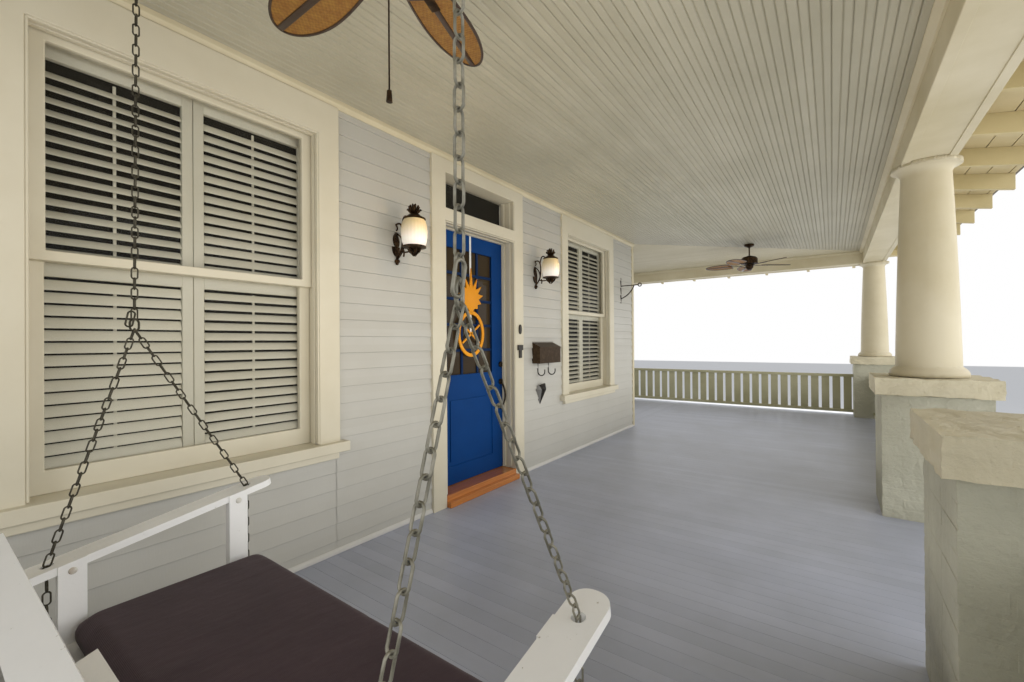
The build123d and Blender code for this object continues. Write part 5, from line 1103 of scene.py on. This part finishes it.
def leaf_outline(inset):
    """The edge of a blade, moved in by inset."""
    root, tip, count, upper = blade_root + inset, blade_tip - inset, 24, []
    for step in range(count + 1):
        x = root + (tip - root) * math.sin(math.pi / 2 * step / count)
        if x < blade_widest:
            share = (x - blade_root) / (blade_widest - blade_root)
            half_width = root_half + (widest_half - root_half) * math.sin(share * math.pi / 2)
        else:
            share = (x - blade_widest) / (blade_tip - blade_widest)
            half_width = widest_half * math.sqrt(max(0.0, 1 - share**2))
        upper.append((x, max(0.0, half_width - inset)))
    upper[-1] = (tip, 0.0)
    return upper + [(x, -y) for x, y in reversed(upper[:-1])]


rim = hollowed(flat_shape("rim", leaf_outline(0.0)), 0.010)
modify(rim, "SOLIDIFY", thickness=0.009, offset=0)
bevelled(rim, 0.002, 2, 50)
rib = block("rib", (blade_root, -rib_half, -rib_depth), (blade_tip - 0.008, rib_half, rib_depth), 0.003, 2)
panel = modify(flat_shape("panel", leaf_outline(0.006)), "SOLIDIFY", thickness=0.003, offset=0)
frame_and_rib = joined("blade_frame", [rim, rib])
for part in (frame_and_rib, panel):
    moved(part, turn=math.radians(12), axis="X")
iron = block("iron", (0.066, -iron_half, -0.0075), (0.295, iron_half, -0.0025), 0.0015, 2)
bore, hub_edge, hub_out, hub_deep, hub_flat = 0.0104, 0.062, 0.070, 0.011, 0.006
half_profile = [(hub_out, hub_flat), (hub_edge, hub_deep), (bore, hub_deep)]
hub_profile = [(radius, -height) for radius, height in reversed(half_profile)] + half_profile
dark_wood = varnished_wood("dark_blade_wood", "#3A2416", "#22130B", 0.4)
cane = woven_cane()
fan_y, fan_z, first_blade, blade_count = -1.440, 3.055, 18, 5
for body, fan_x in (("near_fan", -2.130), ("far_fan", 4.725)):
    frames, panels, irons = [], [], []
    for number in range(blade_count):
        turn = math.radians(first_blade + 360 / blade_count * number)
        for source, bundle in ((frame_and_rib, frames), (panel, panels), (iron, irons)):
            bundle.append(moved(copied(source, "blade"), fan_x, fan_y, fan_z, turn))
    for piece in frames + irons:
        smoothed(piece, 30)
    hub = moved(turned("hub", hub_profile), fan_x, fan_y, fan_z)
    blades = body + "_blades"
    fitted(joined(blades + "_irons", irons + [hub]), body, fan_bronze, "fan_metal", blades)
    fitted(joined(blades + "_frames", frames), body, dark_wood, "fan_wood")
    fitted(joined(blades + "_cane", panels), body, cane, "fan_wood")
for source in (frame_and_rib, panel, iron):
    bpy.data.objects.remove(source)

# Porch swing: pine boards with white gloss paint, hung from two iron hooks in the ceiling. Its
# carriage bolts go through the arm posts and show round heads under the same paint.
hook_iron = cast_metal("hook_iron", "#4C4840", "#8A867A", 0.5, 0.9, 0.4)
refitted("swing_hooks", "porch", hook_iron, "chain_steel", 0.0008)
swing_paint = oil_paint("swing_gloss_paint", "#F1F0EE", "#E4E3DF", None, 0.35, 0.35, "#A79F8E")
refitted("swing_bench", "porch_swing", swing_paint, "swing_paint", 0.005, 3)
bolt_points = ((-2.170, 1.262), (-2.644, 1.183), (-2.170, 0.915), (-2.644, 0.915))
bolt_heads = [
    ball("bolt", 0.011, (x, y, z), (1, 0.35, 1)) for x, z in bolt_points for y in (-1.977, -0.553)
]
bolt_paint = cast_metal("painted_bolt_heads", "#D2CFC6", "#9A7F62", 0.45, 0.0, 0.3)
fitted(joined("bolt_heads", bolt_heads), "porch_swing", bolt_paint, "swing_paint")

# Swing chains: welded links of 5 mm wire. From each ceiling hook one strand comes down to a ring.
# Two strands part there, go down through the arms, and end in eye bolts in the seat rails.
link_length, link_width, link_wire, link_pitch = 0.045, 0.023, 0.005, 0.0350


def ring(name, length, width, wire_size, around=16):
    """A welded link: a wire ring drawn out to its length, standing in the XZ plane."""
    size = {"major_radius": (width - wire_size) / 2, "minor_radius": wire_size / 2}
    steps = {"major_segments": around, "minor_segments": 7, "rotation": (math.pi / 2, math.pi / around, 0)}
    piece = made(name, bpy.ops.mesh.primitive_torus_add, **size, **steps)
    for vertex in piece.data.vertices:
        vertex.co.z += math.copysign((length - width) / 2, vertex.co.z)
    bpy.ops.object.shade_smooth()
    return piece


def chain(start, end):
    """Links in a straight run, each turned about a quarter from the one before it."""
    span = Vector(end) - Vector(start)
    pairs = max(1, round(span.length / (2 * link_pitch)))
    pitch = span.length / (2 * pairs)
    link = moved(ring("link", link_length, link_width, link_wire), z=pitch / 2)
    crossed = moved(copied(link, "crossed"), z=pitch, turn=math.radians(86))
    run = row(joined("chain", [link, crossed]), pairs, (0, 0, 2 * pitch))
    run.data.transform(Matrix.Translation(start) @ span.to_track_quat("Z", "Y").to_matrix().to_4x4())
    return run


hook_x, hook_z, ring_x, ring_z, ring_top, ring_foot = -2.470, 3.324, -2.480, 1.952, 1.972, 1.937
arm_holes, rail_z, eye_z = ((-2.120, 1.302), (-2.694, 1.202)), 0.962, 0.953
shank_heights = (0.940, 0.900, 0.862)
# The near strand's steel is painted lighter and the far strand's darker: painted light and painted shade on
# chains of one steel.
for strand, y, steel_tone_with_painted_light, worn, *stands_for in (
    ("near", -2.030, "#8C897C", "#B4B0A2", "swing_chains"), ("far", -0.500, "#4B473C", "#6E695A")
):
    links = [
        chain((hook_x, y, hook_z), (ring_x, y, ring_top)),
        moved(ring("split_ring", 0.050, 0.038, 0.007, 24), ring_x, y, ring_z, math.radians(25)),
        moved(ring("spare_link", 0.060, 0.026, 0.006), ring_x - 0.014, y - 0.012, ring_top, 0.2, "Y"),
    ]
    for hole_x, hole_z in arm_holes:
        links += [
            chain((ring_x, y, ring_foot), (hole_x, y, hole_z)),
            chain((hole_x, y, hole_z), (hole_x, y, rail_z)),
            moved(ring("eye_bolt", 0.030, 0.030, 0.007), hole_x, y, eye_z),
            bent_bar("shank", [(hole_x, y, z) for z in shank_heights], 0.004),
        ]
    strand_steel = cast_metal(strand + "_chain_steel_painted_light", steel_tone_with_painted_light, worn, 0.42, 0.75, 0.4)
    fitted(joined(strand + "_chains", links), "porch_swing", strand_steel, "chain_steel", *stands_for)


# Seat cushion: a boxed foam pad in dark aubergine canvas, swollen a little between its seams,
# with soft creases near its ends. It lies loose on the seat slats.
def canvas(name, cloth, thread):
    """Plain-woven canvas, faded in patches. It has a fine thread pattern and long soft creases."""
    material, tree, place = blank(name)
    threads = {"Vector": place, "Scale": 1000 / 1.4 / 6.28}
    warp, weft = [
        wire(tree, "ShaderNodeTexWave", threads, bands_direction=axis).outputs["Fac"] for axis in "XY"
    ]
    faded = spread(tree, noise(tree, place, 1000 / 240, 5.0, 0.6), 0.35, 0.70, 0.0, 0.9)
    weave = {"Strength": 0.35, "Distance": 0.0004, "Height": calc(tree, "ADD", warp, weft)}
    fine = wire(tree, "ShaderNodeBump", weave).outputs[0]
    creases = noise(tree, place, 1.0, 4.0, stretch=(9, 26, 9))
    folds = {"Strength": 0.6, "Distance": 0.006, "Height": creases, "Normal": fine}
    soft = wire(tree, "ShaderNodeBump", folds).outputs[0]
    colour = mixed(tree, faded, cloth, thread)
    return dressed(material, Base_Color=colour, Normal=soft, Roughness=0.9, Sheen_Weight=0.08)


low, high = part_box("swing_cushion")
pad_inset, pad_voxel, seat_gap = Vector([0.004] * 3), 0.012, 0.0005
side_swell, crown_swell = 0.005, 0.024
cushion = block("seat_cushion", low + pad_inset, high - pad_inset, 0.024, 4)
modify(cushion, "REMESH", mode="VOXEL", voxel_size=pad_voxel)
cut_places = [vertex.co.copy() for vertex in cushion.data.vertices]
select_only(cushion)
swelling = cushion.modifiers.new("swelling", "CLOTH")
swelling.settings.use_pressure = True
swelling.settings.uniform_pressure_force = 4
swelling.settings.effector_weights.gravity = 0
for moment in range(1, 21):
    bpy.context.scene.frame_set(moment)
bpy.ops.object.modifier_apply(modifier=swelling.name)
bpy.context.scene.frame_set(1)
for vertex, start in zip(cushion.data.vertices, cut_places):
    shift = vertex.co - start
    vertex.co = (
        start.x + max(-side_swell, min(side_swell, shift.x)),
        start.y + max(-side_swell, min(side_swell, shift.y)),
        max(low.z + seat_gap, start.z + max(-crown_swell, min(crown_swell, shift.z))),
    )
modify(cushion, "SUBSURF", levels=1, render_levels=1)
select_only(cushion)
bpy.ops.object.shade_smooth()
cushion_cloth = canvas("aubergine_canvas", "#3A2A31", "#44333A")
fitted(cushion, "porch_swing", cushion_cloth, "cushion_fabric", "swing_cushion")
